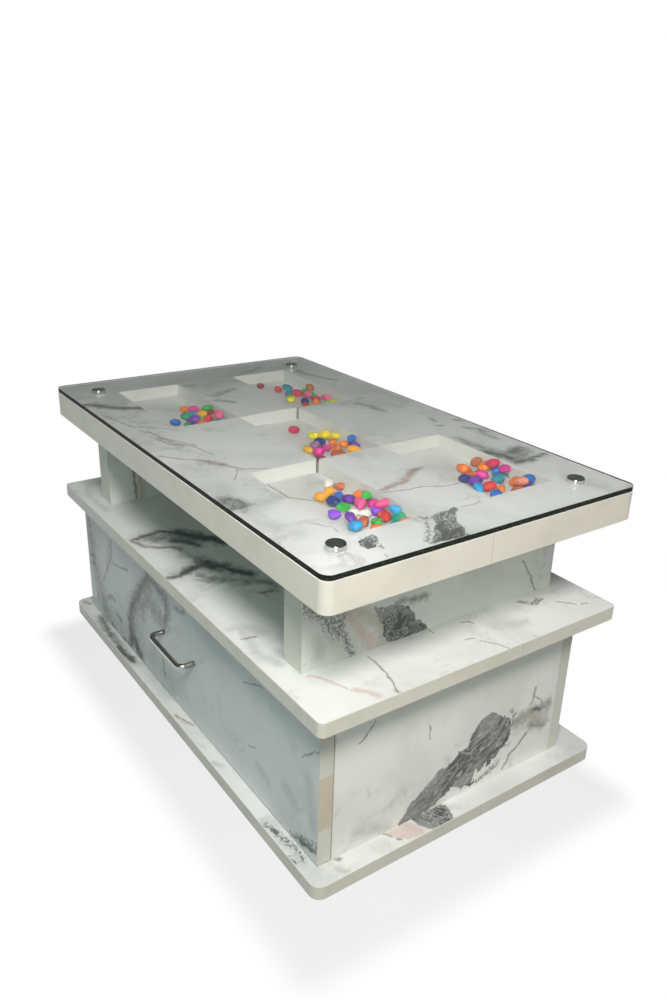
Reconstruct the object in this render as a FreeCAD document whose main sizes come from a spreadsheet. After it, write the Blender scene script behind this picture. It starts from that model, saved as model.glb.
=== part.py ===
import FreeCAD
import Part
import Sketcher
import math
import os
import random

# Coffee table of marble-print board: a lower box with one wide drawer, a shelf, two uprights with an open
# bay between them, and a top whose upper board has five cut-outs that hold pebbles under a glass sheet.
# Lengths are in millimetres. X runs along the table, the drawer opens towards -Y and Z points up.
# The origin is the middle of the base board's underside.

# Driving dimensions: alias, value, meaning
SIZES = [
    ("table_length", 762, "length of the base, shelf and top boards"),
    ("table_width", 457, "width of the base, shelf and top boards"),
    ("base_corner", 14, "rounding of the base board's corners"),
    ("shelf_corner", 8, "rounding of the shelf's corners"),
    ("top_corner", 12.5, "rounding of the top's corners"),
    ("glass_corner", 12, "rounding of the glass sheet's corners"),
    ("board", 18, "thickness of every main board"),
    ("edge_band", 1, "thickness of the edge bands"),
    ("box_end_inset", 28, "from the table's end to the lower box's end panel"),
    ("box_height", 203, "height between the base board and the shelf"),
    ("front_setback", 20, "from the base board's front edge to the drawer front's face"),
    ("rear_setback", 42, "from the base board's rear edge to the back panel's face"),
    ("front_air", 1.2, "gap between the shut drawer front and the end panels"),
    ("front_reveal", 2, "gap above and below the drawer front"),
    ("bay_height", 123, "height of the uprights"),
    ("upright_end_inset", 85.5, "from the table's end to an upright's outer face"),
    ("upright_side_inset", 31.5, "from the table's long edge to an upright's edge"),
    ("recess_end_margin", 70.5, "from the top's end to the first recess"),
    ("recess_side_margin", 75.5, "from the top's long edge to the first recess"),
    ("glass", 6, "thickness of the glass sheet"),
    ("glass_inset", 0.5, "from the top's edge to the glass"),
    ("glass_hole", 9, "diameter of the holes in the glass"),
    ("cap_right_inset", 48, "from the table's right end to the caps there"),
    ("cap_left_inset", 66, "from the table's left end to the caps there"),
    ("cap_front_inset", 45.5, "from the table's front edge to the caps there"),
    ("cap_rear_inset", 57, "from the table's rear edge to the caps there"),
    ("cap_diameter", 22.5, "diameter of a cap"),
    ("cap_height", 6, "height of a cap"),
    ("cap_bevel", 1.2, "bevel round a cap's top"),
    ("cap_roof", 1.8, "metal left over a cap's cavity"),
    ("cap_play", 0.4, "air round the screw head in a cap"),
    ("bush_diameter", 16, "diameter of a bush's flange under the glass"),
    ("bush_flange", 1, "thickness of that flange, the air under the glass"),
    ("glass_screw_bite", 13, "depth of a glass screw in the top's floor board"),
    ("glass_screw_lap", 1, "width of its head on the glass round the hole"),
    ("screw_diameter", 4, "diameter of the screws' shanks"),
    ("screw_head", 8.5, "diameter of a countersunk head"),
    ("pan_head", 8, "diameter of a pan head"),
    ("pan_height", 2.4, "height of a pan head"),
    ("screw_bite", 32, "depth of a screw in the edge of a main board"),
    ("screw_play", 0.2, "radial air round a shank in its hole"),
    ("drill_relief", 1, "depth of a blind hole past its screw or dowel"),
    ("dowel_diameter", 8, "diameter of the dowels under the shelf"),
    ("dowel_seat", 17, "depth of a dowel in the panel below"),
    ("dowel_rise", 11, "height of a dowel in the shelf"),
    ("drawer_wall", 12, "thickness of the drawer box's boards"),
    ("drawer_lift", 14, "from the base board to the drawer box"),
    ("drawer_headroom", 39, "from the drawer box to the shelf"),
    ("drawer_rear_air", 5, "from the drawer box to the back panel"),
    ("drawer_bottom", 6, "thickness of the drawer's bottom"),
    ("bottom_lift", 10, "from the drawer box's lower edge to its bottom"),
    ("groove_depth", 6, "depth of the grooves that hold the bottom"),
    ("groove_play", 0.4, "air above and beside the bottom in its grooves"),
    ("box_screw_bite", 23, "depth of the drawer box's screws in its front and back"),
    ("front_screw_bite", 13, "depth of the screws in the drawer front"),
    ("runner_height", 45, "height of a runner's cabinet rail"),
    ("runner_setback", 3, "from the end panel's front edge to the runner"),
    ("runner_rear_air", 6.8, "from the runner to the back panel"),
    ("rail_gauge", 1, "thickness of the rails' steel"),
    ("rail_play", 0.4, "running air between rails"),
    ("rail_lip", 3.5, "width of the lips that keep the rails together"),
    ("rail_race", 1.5, "depth of the race between a drawer rail's edge and the middle rail's lip"),
    ("rail_stand_off", 3, "from the cabinet rail's lip to the drawer"),
    ("rail_screw_head", 1.6, "height of a runner screw's head"),
    ("rail_screw_air", 0.8, "air between those heads and the middle rail"),
    ("rail_screw_bite", 8, "depth of a runner screw in its board"),
    ("handle_centres", 96, "distance between the handle's screws"),
    ("handle_reach", 22, "from the drawer front's face to the bar's axis"),
    ("handle_bar", 8, "diameter of the bar"),
    ("handle_bend", 9, "bend radius at the bar's axis"),
    ("handle_bite", 9, "depth of the handle screws in the handle"),
    ("pebble_long", 17, "length of a middling pebble"),
    ("pebble_thick", 9, "thickness of a middling pebble"),
    ("pebble_air", 0.3, "least air between neighbouring pebbles"),
    ("pebble_drift", 8, "most that a pebble is moved to find room"),
]

# Shares that place screws: of an upright's half depth, and of the border beside the recesses
UPRIGHT_SCREW_SHARE = 0.6
TOP_SCREW_SHARE = 0.75
# Shares that shape small turned parts: the rim of a pan head's height, the nose of a dowel's radius
PAN_RIM_SHARE = 0.75
DOWEL_NOSE_SHARE = 0.25

# Where the pieces meet, as expressions on the sheet
HALF_LENGTH = "(sizes.table_length / 2)"
HALF_WIDTH = "(sizes.table_width / 2)"
SHELF_BOTTOM = "(sizes.board + sizes.box_height)"
SHELF_TOP = f"({SHELF_BOTTOM} + sizes.board)"
TOP_BOTTOM = f"({SHELF_TOP} + sizes.bay_height)"
DECK_BOTTOM = f"({TOP_BOTTOM} + sizes.board)"
DECK_TOP = f"({DECK_BOTTOM} + sizes.board)"
GLASS_BOTTOM = f"({DECK_TOP} + sizes.bush_flange)"
GLASS_TOP = f"({GLASS_BOTTOM} + sizes.glass)"

BOX_END = f"({HALF_LENGTH} - sizes.box_end_inset)"
PANEL_MIDDLE = f"({BOX_END} - sizes.board / 2)"
PANEL_INNER = f"({BOX_END} - sizes.board)"
FRONT_FACE = f"(-{HALF_WIDTH} + sizes.front_setback)"
FRONT_BACK = f"({FRONT_FACE} + sizes.board)"
PANEL_FRONT = f"({FRONT_BACK} + sizes.front_air)"
BACK_OUTER = f"({HALF_WIDTH} - sizes.rear_setback)"
BACK_INNER = f"({BACK_OUTER} - sizes.board)"
PANEL_DEPTH = f"({BACK_INNER} - {PANEL_FRONT})"

UPRIGHT_OUTER = f"({HALF_LENGTH} - sizes.upright_end_inset)"
OUTER_LAYER = f"({UPRIGHT_OUTER} - sizes.board / 2)"
INNER_LAYER = f"({UPRIGHT_OUTER} - 1.5 * sizes.board)"
UPRIGHT_EDGE = f"({HALF_WIDTH} - sizes.upright_side_inset)"
UPRIGHT_SCREW = f"({UPRIGHT_EDGE} * {UPRIGHT_SCREW_SHARE})"
TOP_SCREW = f"({HALF_WIDTH} - sizes.recess_side_margin * {TOP_SCREW_SHARE})"

CELL_LENGTH = "((sizes.table_length - 2 * sizes.recess_end_margin) / 3)"
CELL_WIDTH = "((sizes.table_width - 2 * sizes.recess_side_margin) / 3)"
CAPS_X = [f"(-{HALF_LENGTH} + sizes.cap_left_inset)", f"({HALF_LENGTH} - sizes.cap_right_inset)"]
CAPS_Y = [f"(-{HALF_WIDTH} + sizes.cap_front_inset)", f"({HALF_WIDTH} - sizes.cap_rear_inset)"]
CAP_SPOTS = [(x, y) for x in CAPS_X for y in CAPS_Y]

RAIL_SCREW_SPACE = "(sizes.rail_screw_head + sizes.rail_screw_air)"
MIDDLE_RAIL_BACK = f"(sizes.rail_gauge + {RAIL_SCREW_SPACE})"
DRAWER_RAIL_BACK = f"({MIDDLE_RAIL_BACK} + sizes.rail_gauge + sizes.rail_play)"
MIDDLE_RAIL_MOUTH = f"({DRAWER_RAIL_BACK} + 2 * sizes.rail_gauge + sizes.rail_race)"
CABINET_RAIL_MOUTH = f"({MIDDLE_RAIL_MOUTH} + sizes.rail_play + sizes.rail_gauge)"
RUNNER_WIDTH = f"({CABINET_RAIL_MOUTH} + sizes.rail_stand_off)"
DRAWER_SIDE = f"({PANEL_INNER} - {RUNNER_WIDTH})"
DRAWER_INSIDE = f"({DRAWER_SIDE} - sizes.drawer_wall)"
DRAWER_BOTTOM_Z = "(sizes.board + sizes.drawer_lift)"
DRAWER_HEIGHT = "(sizes.box_height - sizes.drawer_lift - sizes.drawer_headroom)"
DRAWER_BACK_Y = f"({BACK_INNER} - sizes.drawer_rear_air)"
DRAWER_DEPTH = f"({DRAWER_BACK_Y} - {FRONT_BACK})"
DRAWER_MIDDLE_Y = f"(({FRONT_BACK} + {DRAWER_BACK_Y}) / 2)"
GROOVE_LOW = f"({DRAWER_BOTTOM_Z} + sizes.bottom_lift)"
RUNNER_Z = f"({DRAWER_BOTTOM_Z} + {DRAWER_HEIGHT} / 2)"
RUNNER_FRONT = f"({PANEL_FRONT} + sizes.runner_setback)"
RUNNER_LENGTH = f"({BACK_INNER} - sizes.runner_rear_air - {RUNNER_FRONT})"
HANDLE_Z = "(sizes.board + sizes.box_height / 2)"

SCREW_HOLE = "(sizes.screw_diameter + 2 * sizes.screw_play)"
DOWEL_HOLE = "(sizes.dowel_diameter + 2 * sizes.screw_play)"
HEAD_DEPTH = "((sizes.screw_head - sizes.screw_diameter) / 2)"
SCREW_LENGTH = "(sizes.board + sizes.screw_bite)"
SCREW_PILOT = "(sizes.screw_bite + sizes.drill_relief)"
DOWEL_DEPTH = "(sizes.dowel_seat + sizes.drill_relief)"
GLASS_PILOT = "(sizes.glass_screw_bite + sizes.drill_relief)"
GLASS_SCREW_LENGTH = "(sizes.glass + sizes.bush_flange + sizes.board + sizes.glass_screw_bite)"
GLASS_SCREW_HEAD = "(sizes.glass_hole + 2 * sizes.glass_screw_lap)"
END_SCREWS_Y = [f"({PANEL_FRONT} + {PANEL_DEPTH} * {share})" for share in (0.15, 0.5, 0.85)]
END_DOWELS_Y = [f"({PANEL_FRONT} + {PANEL_DEPTH} * {share})" for share in (0.2, 0.8)]
BACK_SCREWS_X = [f"({BOX_END} * {share})" for share in (-0.6, 0, 0.6)]
BACK_DOWELS_X = [f"({BOX_END} * {share})" for share in (-0.6, 0.6)]
RUNNER_SCREWS_Y = [f"({RUNNER_FRONT} + {RUNNER_LENGTH} * {share})" for share in (0.1, 0.5, 0.9)]
BOX_SCREWS_Z = [f"({DRAWER_BOTTOM_Z} + {DRAWER_HEIGHT} * {share})" for share in (0.18, 0.85)]
FRONT_SCREWS_X = [f"({DRAWER_INSIDE} * {share})" for share in (-0.8, 0.8)]
SIDES = {"left": -1, "right": 1}

# Recesses in the top: column and row in a grid of three by three
RECESSES = {
    "front_left": (-1, -1),
    "back_left": (-1, 1),
    "centre": (0, 0),
    "front_right": (1, -1),
    "back_right": (1, 1),
}

# Pebbles of each recess: the stones on its floor, then those on top of other stones. A stone's place is
# given in hundredths of the recess's half length and half width, from the recess's middle.
HEAPS = {
    "front_left": (
        [(-9, 33), (-6, 61), (16, 37), (22, 8), (27, 53), (20, 78), (46, 79), (43, -45), (51, -6),
         (47, 24), (53, 49), (66, -28), (70, 14), (68, 66), (84, 38)],
        [(22, 75), (56, 81), (62, 0)]),
    "back_left": (
        [(-69, -30), (-39, 2), (-38, 37), (-2, 29), (18, 61), (20, -23), (-6, 2), (42, 82), (42, 1),
         (43, 42), (-6, 64), (60, 22), (64, 62), (62, -20), (82, 44)],
        [(-3, 81), (74, 70), (20, 40)]),
    "centre": (
        [(-44, 14), (-10, 35), (-3, 60), (5, 85), (19, 13), (40, 9), (40, 70), (50, 29), (52, 85),
         (53, -33), (34, -42), (30, -16), (70, 8), (70, 56), (72, -52)],
        [(46, 83), (46, 20), (6, 50)]),
    "front_right": (
        [(-52, 68), (-39, 76), (-21, 0), (-28, 33), (-15, 45), (-3, 12), (2, 49), (16, 12), (26, -27),
         (-1, 85), (16, 60), (22, 85), (43, 65), (41, 38), (32, 17), (60, 61), (48, -10), (59, 6), (64, -22),
         (68, 29), (70, 79), (82, 4), (84, 54)],
        [(10, 85), (45, 78), (65, 81), (83, 81), (53, -23)]),
    "back_right": (
        [(-4, 17), (-15, 85), (-1, 84), (20, 31), (24, 85), (42, 45), (19, -23), (32, -18), (55, -12),
         (64, 8), (58, 73), (71, 67), (76, -30), (82, 30)],
        [(14, 3), (11, 85), (30, 85), (53, -42), (74, 85), (77, 58)]),
}
PEBBLE_SIDES = 7
# Rings of a pebble: share of its thickness and scale of its outline
PEBBLE_RINGS = [(0.0, 0.55), (0.42, 1.0), (0.80, 0.82), (1.0, 0.46)]
PEBBLE_SEED = 11
# How much pebbles differ: size against the middling one, width against length, thickness
PEBBLE_SIZE_RANGE = (0.85, 1.12)
PEBBLE_WIDTH_RANGE = (0.70, 0.88)
PEBBLE_THICK_RANGE = (0.88, 1.04)
# A stone whose place is taken moves out along a spiral until it finds room
SPIRAL_STEPS = 60
SPIRAL_TURN = 2.4
# How finely a stone on top is let down, and at how many heights it is held against those below
SINK_STEPS = 8
SINK_LEVELS = 5

doc = FreeCAD.newDocument("coffee_table")
sheet = doc.addObject("Spreadsheet::Sheet", "sizes")
for row, (alias, number, meaning) in enumerate(SIZES, start=1):
    sheet.set(f"A{row}", meaning)
    sheet.set(f"B{row}", str(number))
    sheet.setAlias(f"B{row}", alias)
doc.recompute()

pieces = []


def value(expression):
    """Returns what an expression on the sheet comes to."""
    return float(sheet.evalExpression(expression))


def place(piece, x, y, z):
    """Binds a piece's place to three expressions."""
    for axis, expression in zip("xyz", (x, y, z)):
        piece.setExpression(f"Placement.Base.{axis}", expression)


def new_body(label):
    """Starts a piece that is made with sketches and features."""
    body = doc.addObject("PartDesign::Body", label)
    body.Label = label
    pieces.append(body)
    return body


def sketch_on(body, role, offset="0"):
    """Puts a new sketch on one of the body's own planes, moved along the plane's normal."""
    plane = next(part for part in body.Origin.OriginFeatures if part.Role == role)
    sketch = body.newObject("Sketcher::SketchObject", f"{body.Name}_sketch")
    sketch.AttachmentSupport = (plane, [""])
    sketch.MapMode = "FlatFace"
    sketch.setExpression("AttachmentOffset.Base.z", offset)
    return sketch


def bind(sketch, kind, *where_and_size):
    """Adds a sketch dimension and binds it to the expression that comes last."""
    *where, expression = where_and_size
    index = sketch.addConstraint(Sketcher.Constraint(kind, *where, value(expression)))
    sketch.setExpression(f"Constraints[{index}]", expression)


def draw_rectangle(sketch, across, along, x="0", y="0", corner=None):
    """Draws a rectangle whose middle lies at x, y, with round corners where a radius is given."""
    low_x, high_x = f"{x} - ({across}) / 2", f"{x} + ({across}) / 2"
    low_y, high_y = f"{y} - ({along}) / 2", f"{y} + ({along}) / 2"
    radius = value(corner) if corner else 0
    left, right, bottom, top_side = value(low_x), value(high_x), value(low_y), value(high_y)
    ends = [
        ((left + radius, bottom), (right - radius, bottom)),
        ((right, bottom + radius), (right, top_side - radius)),
        ((right - radius, top_side), (left + radius, top_side)),
        ((left, top_side - radius), (left, bottom + radius)),
    ]
    lines = []
    for start, end in ends:
        segment = Part.LineSegment(FreeCAD.Vector(*start, 0), FreeCAD.Vector(*end, 0))
        lines.append(sketch.addGeometry(segment))
    if corner:
        round_corners(sketch, lines, ends, corner)
    else:
        for line, following in zip(lines, lines[1:] + lines[:1]):
            sketch.addConstraint(Sketcher.Constraint("Coincident", line, 2, following, 1))
    for number, line in enumerate(lines):
        sketch.addConstraint(Sketcher.Constraint("Vertical" if number % 2 else "Horizontal", line))
    bind(sketch, "DistanceY", -1, 1, lines[0], 1, low_y)
    bind(sketch, "DistanceX", -1, 1, lines[1], 1, high_x)
    bind(sketch, "DistanceY", -1, 1, lines[2], 1, high_y)
    bind(sketch, "DistanceX", -1, 1, lines[3], 1, low_x)


def round_corners(sketch, lines, ends, corner):
    """Joins the four sides of a rectangle with equal arcs."""
    radius, quarter = value(corner), math.pi / 2
    inward = [(0, 1), (-1, 0), (0, -1), (1, 0)]
    arcs = []
    for number, line in enumerate(lines):
        middle = FreeCAD.Vector(*ends[number][1], 0) + FreeCAD.Vector(*inward[number], 0) * radius
        circle = Part.Circle(middle, FreeCAD.Vector(0, 0, 1), radius)
        arc = sketch.addGeometry(Part.ArcOfCircle(circle, (number - 1) * quarter, number * quarter))
        sketch.addConstraint(Sketcher.Constraint("Tangent", line, 2, arc, 1))
        sketch.addConstraint(Sketcher.Constraint("Tangent", arc, 2, lines[(number + 1) % 4], 1))
        arcs.append(arc)
    for arc in arcs[1:]:
        sketch.addConstraint(Sketcher.Constraint("Equal", arcs[0], arc))
    bind(sketch, "Radius", arcs[0], corner)


def draw_circles(sketch, points, diameter):
    """Draws equal circles at points that are pairs of expressions."""
    for x, y in points:
        spot = FreeCAD.Vector(value(x), value(y), 0)
        circle = sketch.addGeometry(Part.Circle(spot, FreeCAD.Vector(0, 0, 1), value(diameter) / 2))
        bind(sketch, "Diameter", circle, diameter)
        bind(sketch, "DistanceX", -1, 1, circle, 3, x)
        bind(sketch, "DistanceY", -1, 1, circle, 3, y)


def draw_outline(sketch, points):
    """Draws a closed outline of straight lines through points that are pairs of expressions."""
    corners = [FreeCAD.Vector(value(x), value(y), 0) for x, y in points]
    lines = []
    for start, end in zip(corners, corners[1:] + corners[:1]):
        lines.append(sketch.addGeometry(Part.LineSegment(start, end)))
    for line, following in zip(lines, lines[1:] + lines[:1]):
        sketch.addConstraint(Sketcher.Constraint("Coincident", line, 2, following, 1))
    for line, (x, y) in zip(lines, points):
        bind(sketch, "DistanceX", -1, 1, line, 1, x)
        bind(sketch, "DistanceY", -1, 1, line, 1, y)


def pad(body, sketch, length, flip=False):
    """Makes a sketch solid, along its plane's normal or against it."""
    feature = body.newObject("PartDesign::Pad", f"{body.Name}_pad")
    feature.Profile = sketch
    feature.Reversed = flip
    feature.setExpression("Length", length)
    doc.recompute()


def cut(body, sketch, depth=None, flip=False):
    """Cuts a sketch into its body, right through both ways where no depth is given."""
    before = body.Shape.Volume
    feature = body.newObject("PartDesign::Pocket", f"{body.Name}_cut")
    feature.Profile = sketch
    feature.Reversed = flip
    if depth is None:
        feature.Type = "ThroughAll"
        feature.Midplane = True
    else:
        feature.setExpression("Length", depth)
    doc.recompute()
    if body.Shape.Volume >= before:
        raise RuntimeError(f"{body.Label}: a cut took nothing away")


def board(label, size, middle, corner=None):
    """Makes a board from its three sizes, with its lower face's middle at a place.

    Inside the body the middle of the lower face is the origin, so holes are placed from there.
    """
    body = new_body(label)
    sketch = sketch_on(body, "XY_Plane")
    draw_rectangle(sketch, size[0], size[1], corner=corner)
    pad(body, sketch, size[2])
    place(body, *middle)
    return body


def drill(body, role, points, diameter, depth=None, offset="0", flip=False):
    """Drills round holes at points on one of the body's planes."""
    sketch = sketch_on(body, role, offset)
    draw_circles(sketch, points, diameter)
    cut(body, sketch, depth, flip)


def countersink(body, role, points, offset="0", flip=False):
    """Drills holes right through with a seat for a countersunk head where they start."""
    sketch = sketch_on(body, role, offset)
    draw_circles(sketch, points, SCREW_HOLE)
    doc.recompute()
    before = body.Shape.Volume
    feature = body.newObject("PartDesign::Hole", f"{body.Name}_screws")
    feature.Profile = sketch
    doc.recompute()
    feature.DepthType = "ThroughAll"
    feature.Reversed = flip
    feature.setExpression("Diameter", SCREW_HOLE)
    feature.HoleCutType = "Countersink"
    feature.HoleCutCustomValues = True
    feature.setExpression("HoleCutDiameter", "sizes.screw_head")
    feature.HoleCutCountersinkAngle = 90
    doc.recompute()
    if body.Shape.Volume >= before:
        raise RuntimeError(f"{body.Label}: a hole took nothing away")


def frame_band(label, size, middle, wall, corner):
    """Makes a band that runs round a board with round corners."""
    body = new_body(label)
    sketch = sketch_on(body, "XY_Plane")
    draw_rectangle(sketch, size[0], size[1], corner=corner)
    draw_rectangle(sketch, f"{size[0]} - 2 * {wall}", f"{size[1]} - 2 * {wall}", corner=f"{corner} - {wall}")
    pad(body, sketch, size[2])
    place(body, *middle)


def group(label, shapes):
    """Makes one piece of several separate solids."""
    feature = doc.addObject("Part::Feature", label)
    feature.Label = label
    feature.Shape = Part.makeCompound(shapes)
    pieces.append(feature)


def strip(low, high):
    """Returns a block between two corners given as expressions."""
    start = FreeCAD.Vector(*(value(expression) for expression in low))
    end = FreeCAD.Vector(*(value(expression) for expression in high))
    size = end - start
    return Part.makeBox(size.x, size.y, size.z, start)


def turned(profile):
    """Returns a solid turned about Z from pairs of radius and height, which end on the axis or close."""
    points = [FreeCAD.Vector(radius, 0, height) for radius, height in profile]
    wire = Part.makePolygon(points + points[:1])
    axis = FreeCAD.Vector(0, 0, 1)
    return Part.Face(wire).revolve(FreeCAD.Vector(0, 0, 0), axis, 360)


def flat_screw(length):
    """Returns a countersunk screw that points down, with the top of its head at zero."""
    shank, head = value("sizes.screw_diameter") / 2, value("sizes.screw_head") / 2
    depth = value(HEAD_DEPTH)
    tip = length - shank
    return turned([(0, 0), (head, 0), (shank, -depth), (shank, -tip), (0, -length)])


def pan_screw(length, head_height):
    """Returns a pan-head screw that points down, with the seat of its head at zero."""
    shank, head = value("sizes.screw_diameter") / 2, value("sizes.pan_head") / 2
    rim = PAN_RIM_SHARE
    profile = [(0, head_height), (head * rim, head_height), (head, head_height * (1 - rim)), (head, 0)]
    return turned(profile + [(shank, 0), (shank, shank - length), (0, -length)])


def set_down(shape, x, y, z, direction=(0, 0, -1)):
    """Returns a copy of a shape that points down, turned to point along a direction and moved to a place."""
    copy = shape.copy()
    turn = FreeCAD.Rotation(FreeCAD.Vector(0, 0, -1), FreeCAD.Vector(*direction))
    copy.Placement = FreeCAD.Placement(FreeCAD.Vector(value(x), value(y), value(z)), turn)
    return copy


def both_ends(expression):
    """Returns an expression and its mirror image."""
    return [f"-{expression}", expression]


def base():
    """Base board, its edge band and the screws that go up into the lower box."""
    size = ["sizes.table_length", "sizes.table_width", "sizes.board"]
    inner = [f"({size[0]} - 2 * sizes.edge_band)", f"({size[1]} - 2 * sizes.edge_band)", size[2]]
    body = board("base_board", inner, ("0", "0", "0"), "(sizes.base_corner - sizes.edge_band)")
    spots = [(x, y) for x in both_ends(PANEL_MIDDLE) for y in END_SCREWS_Y]
    spots += [(x, f"{BACK_INNER} + sizes.board / 2") for x in BACK_SCREWS_X]
    countersink(body, "XY_Plane", spots, flip=True)
    frame_band("base_edge_band", size, ("0", "0", "0"), "sizes.edge_band", "sizes.base_corner")
    screw = flat_screw(value(SCREW_LENGTH))
    group("base_screws", [set_down(screw, x, y, "0", (0, 0, 1)) for x, y in spots])


def lower_box():
    """End panels and back panel with their edge bands."""
    length = f"({PANEL_DEPTH} - sizes.edge_band)"
    middle_y = f"({PANEL_FRONT} + sizes.edge_band + {length} / 2)"
    for side, sign in SIDES.items():
        body = board(f"{side}_end_panel", ["sizes.board", length, "sizes.box_height"],
                     (f"{sign} * {PANEL_MIDDLE}", middle_y, "sizes.board"))
        screws = [("0", f"{y} - {middle_y}") for y in END_SCREWS_Y]
        drill(body, "XY_Plane", screws, SCREW_HOLE, SCREW_PILOT, flip=True)
        drill(body, "XY_Plane", [("0", f"{y} - {middle_y}") for y in END_DOWELS_Y], DOWEL_HOLE,
              DOWEL_DEPTH, "sizes.box_height")
        holes = [(f"{y} - {middle_y}", f"{RUNNER_Z} - sizes.board") for y in RUNNER_SCREWS_Y]
        drill(body, "YZ_Plane", holes, SCREW_HOLE, "sizes.rail_screw_bite + sizes.drill_relief",
              f"{-sign} * sizes.board / 2", flip=sign > 0)
    back = board("back_panel", [f"2 * ({BOX_END} - sizes.edge_band)", "sizes.board", "sizes.box_height"],
                 ("0", f"{BACK_INNER} + sizes.board / 2", "sizes.board"))
    drill(back, "XY_Plane", [(x, "0") for x in BACK_SCREWS_X], SCREW_HOLE, SCREW_PILOT, flip=True)
    drill(back, "XY_Plane", [(x, "0") for x in BACK_DOWELS_X], DOWEL_HOLE, DOWEL_DEPTH, "sizes.box_height")
    panel_bands = []
    back_bands = []
    for sign in SIDES.values():
        outer, inner = f"{sign} * {BOX_END}", f"{sign} * {PANEL_INNER}"
        left, right = (outer, inner) if sign < 0 else (inner, outer)
        panel_bands.append(strip((left, PANEL_FRONT, "sizes.board"),
                                 (right, f"{PANEL_FRONT} + sizes.edge_band", SHELF_BOTTOM)))
        edge = f"{sign} * ({BOX_END} - sizes.edge_band)"
        left, right = (outer, edge) if sign < 0 else (edge, outer)
        back_bands.append(strip((left, BACK_INNER, "sizes.board"), (right, BACK_OUTER, SHELF_BOTTOM)))
    group("end_panel_edge_bands", panel_bands)
    group("back_panel_edge_bands", back_bands)


def shelf():
    """Shelf board, its edge band, the dowels under it and the screws that go up into the uprights."""
    size = ["sizes.table_length", "sizes.table_width", "sizes.board"]
    inner = [f"({size[0]} - 2 * sizes.edge_band)", f"({size[1]} - 2 * sizes.edge_band)", size[2]]
    at = ("0", "0", SHELF_BOTTOM)
    body = board("shelf_board", inner, at, "(sizes.shelf_corner - sizes.edge_band)")
    screws = [(x, y) for layer in (OUTER_LAYER, INNER_LAYER) for x in both_ends(layer)
              for y in both_ends(UPRIGHT_SCREW)]
    countersink(body, "XY_Plane", screws, flip=True)
    dowels = [(x, y) for x in both_ends(PANEL_MIDDLE) for y in END_DOWELS_Y]
    dowels += [(x, f"{BACK_INNER} + sizes.board / 2") for x in BACK_DOWELS_X]
    drill(body, "XY_Plane", dowels, DOWEL_HOLE, "sizes.dowel_rise + sizes.drill_relief", flip=True)
    frame_band("shelf_edge_band", size, at, "sizes.edge_band", "sizes.shelf_corner")
    radius, length = value("sizes.dowel_diameter") / 2, value("sizes.dowel_seat + sizes.dowel_rise")
    nose = radius * DOWEL_NOSE_SHARE
    dowel = turned([(0, 0), (radius - nose, 0), (radius, -nose), (radius, nose - length),
                    (radius - nose, -length), (0, -length)])
    group("shelf_dowels", [set_down(dowel, x, y, f"{SHELF_BOTTOM} + sizes.dowel_rise") for x, y in dowels])
    screw = flat_screw(value(SCREW_LENGTH))
    group("upright_screws", [set_down(screw, x, y, SHELF_BOTTOM, (0, 0, 1)) for x, y in screws])


def uprights():
    """Two uprights of two boards each, with bands on their front and back edges."""
    length = f"(2 * {UPRIGHT_EDGE} - 2 * sizes.edge_band)"
    bands = []
    for side, sign in SIDES.items():
        for layer, middle in (("outer", OUTER_LAYER), ("inner", INNER_LAYER)):
            body = board(f"{side}_upright_{layer}_board", ["sizes.board", length, "sizes.bay_height"],
                         (f"{sign} * {middle}", "0", SHELF_TOP))
            foot_screws = [("0", y) for y in both_ends(UPRIGHT_SCREW)]
            drill(body, "XY_Plane", foot_screws, SCREW_HOLE, SCREW_PILOT, flip=True)
            drill(body, "XY_Plane", [("0", y) for y in both_ends(TOP_SCREW)], SCREW_HOLE, SCREW_PILOT,
                  "sizes.bay_height")
        outer, inner = f"{sign} * {UPRIGHT_OUTER}", f"{sign} * ({UPRIGHT_OUTER} - 2 * sizes.board)"
        left, right = (outer, inner) if sign < 0 else (inner, outer)
        edge, back = f"({UPRIGHT_EDGE} - sizes.edge_band)", UPRIGHT_EDGE
        bands.append(strip((left, f"-{back}", SHELF_TOP), (right, f"-{edge}", TOP_BOTTOM)))
        bands.append(strip((left, edge, SHELF_TOP), (right, back, TOP_BOTTOM)))
    group("upright_edge_bands", bands)


def recess_bands():
    """Strips that line each recess and stop short of the corners where two recesses meet."""
    length, width = value(CELL_LENGTH), value(CELL_WIDTH)
    band, low, tall = value("sizes.edge_band"), value(DECK_BOTTOM), value("sizes.board")
    half_length, half_width = length / 2, width / 2
    strips = []
    for column, line in RECESSES.values():
        middle = FreeCAD.Vector(column * length, line * width, low)
        for wall in (-1, 1):
            ends = []
            for end in (-1, 1):
                open_corner = column == 0 or (end == -column and wall == -line)
                ends.append(end * (half_length - (band if open_corner else 0)))
            start = FreeCAD.Vector(ends[0], wall * half_width - (band if wall < 0 else 0), 0)
            strips.append(Part.makeBox(ends[1] - ends[0], band, tall, middle + start))
            ends = []
            for end in (-1, 1):
                open_corner = column == 0 or (end == -line and wall == -column)
                ends.append(end * (half_width + (-band if open_corner else band)))
            start = FreeCAD.Vector(wall * half_length - (band if wall < 0 else 0), ends[0], 0)
            strips.append(Part.makeBox(band, ends[1] - ends[0], tall, middle + start))
    group("recess_edge_bands", strips)


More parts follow.
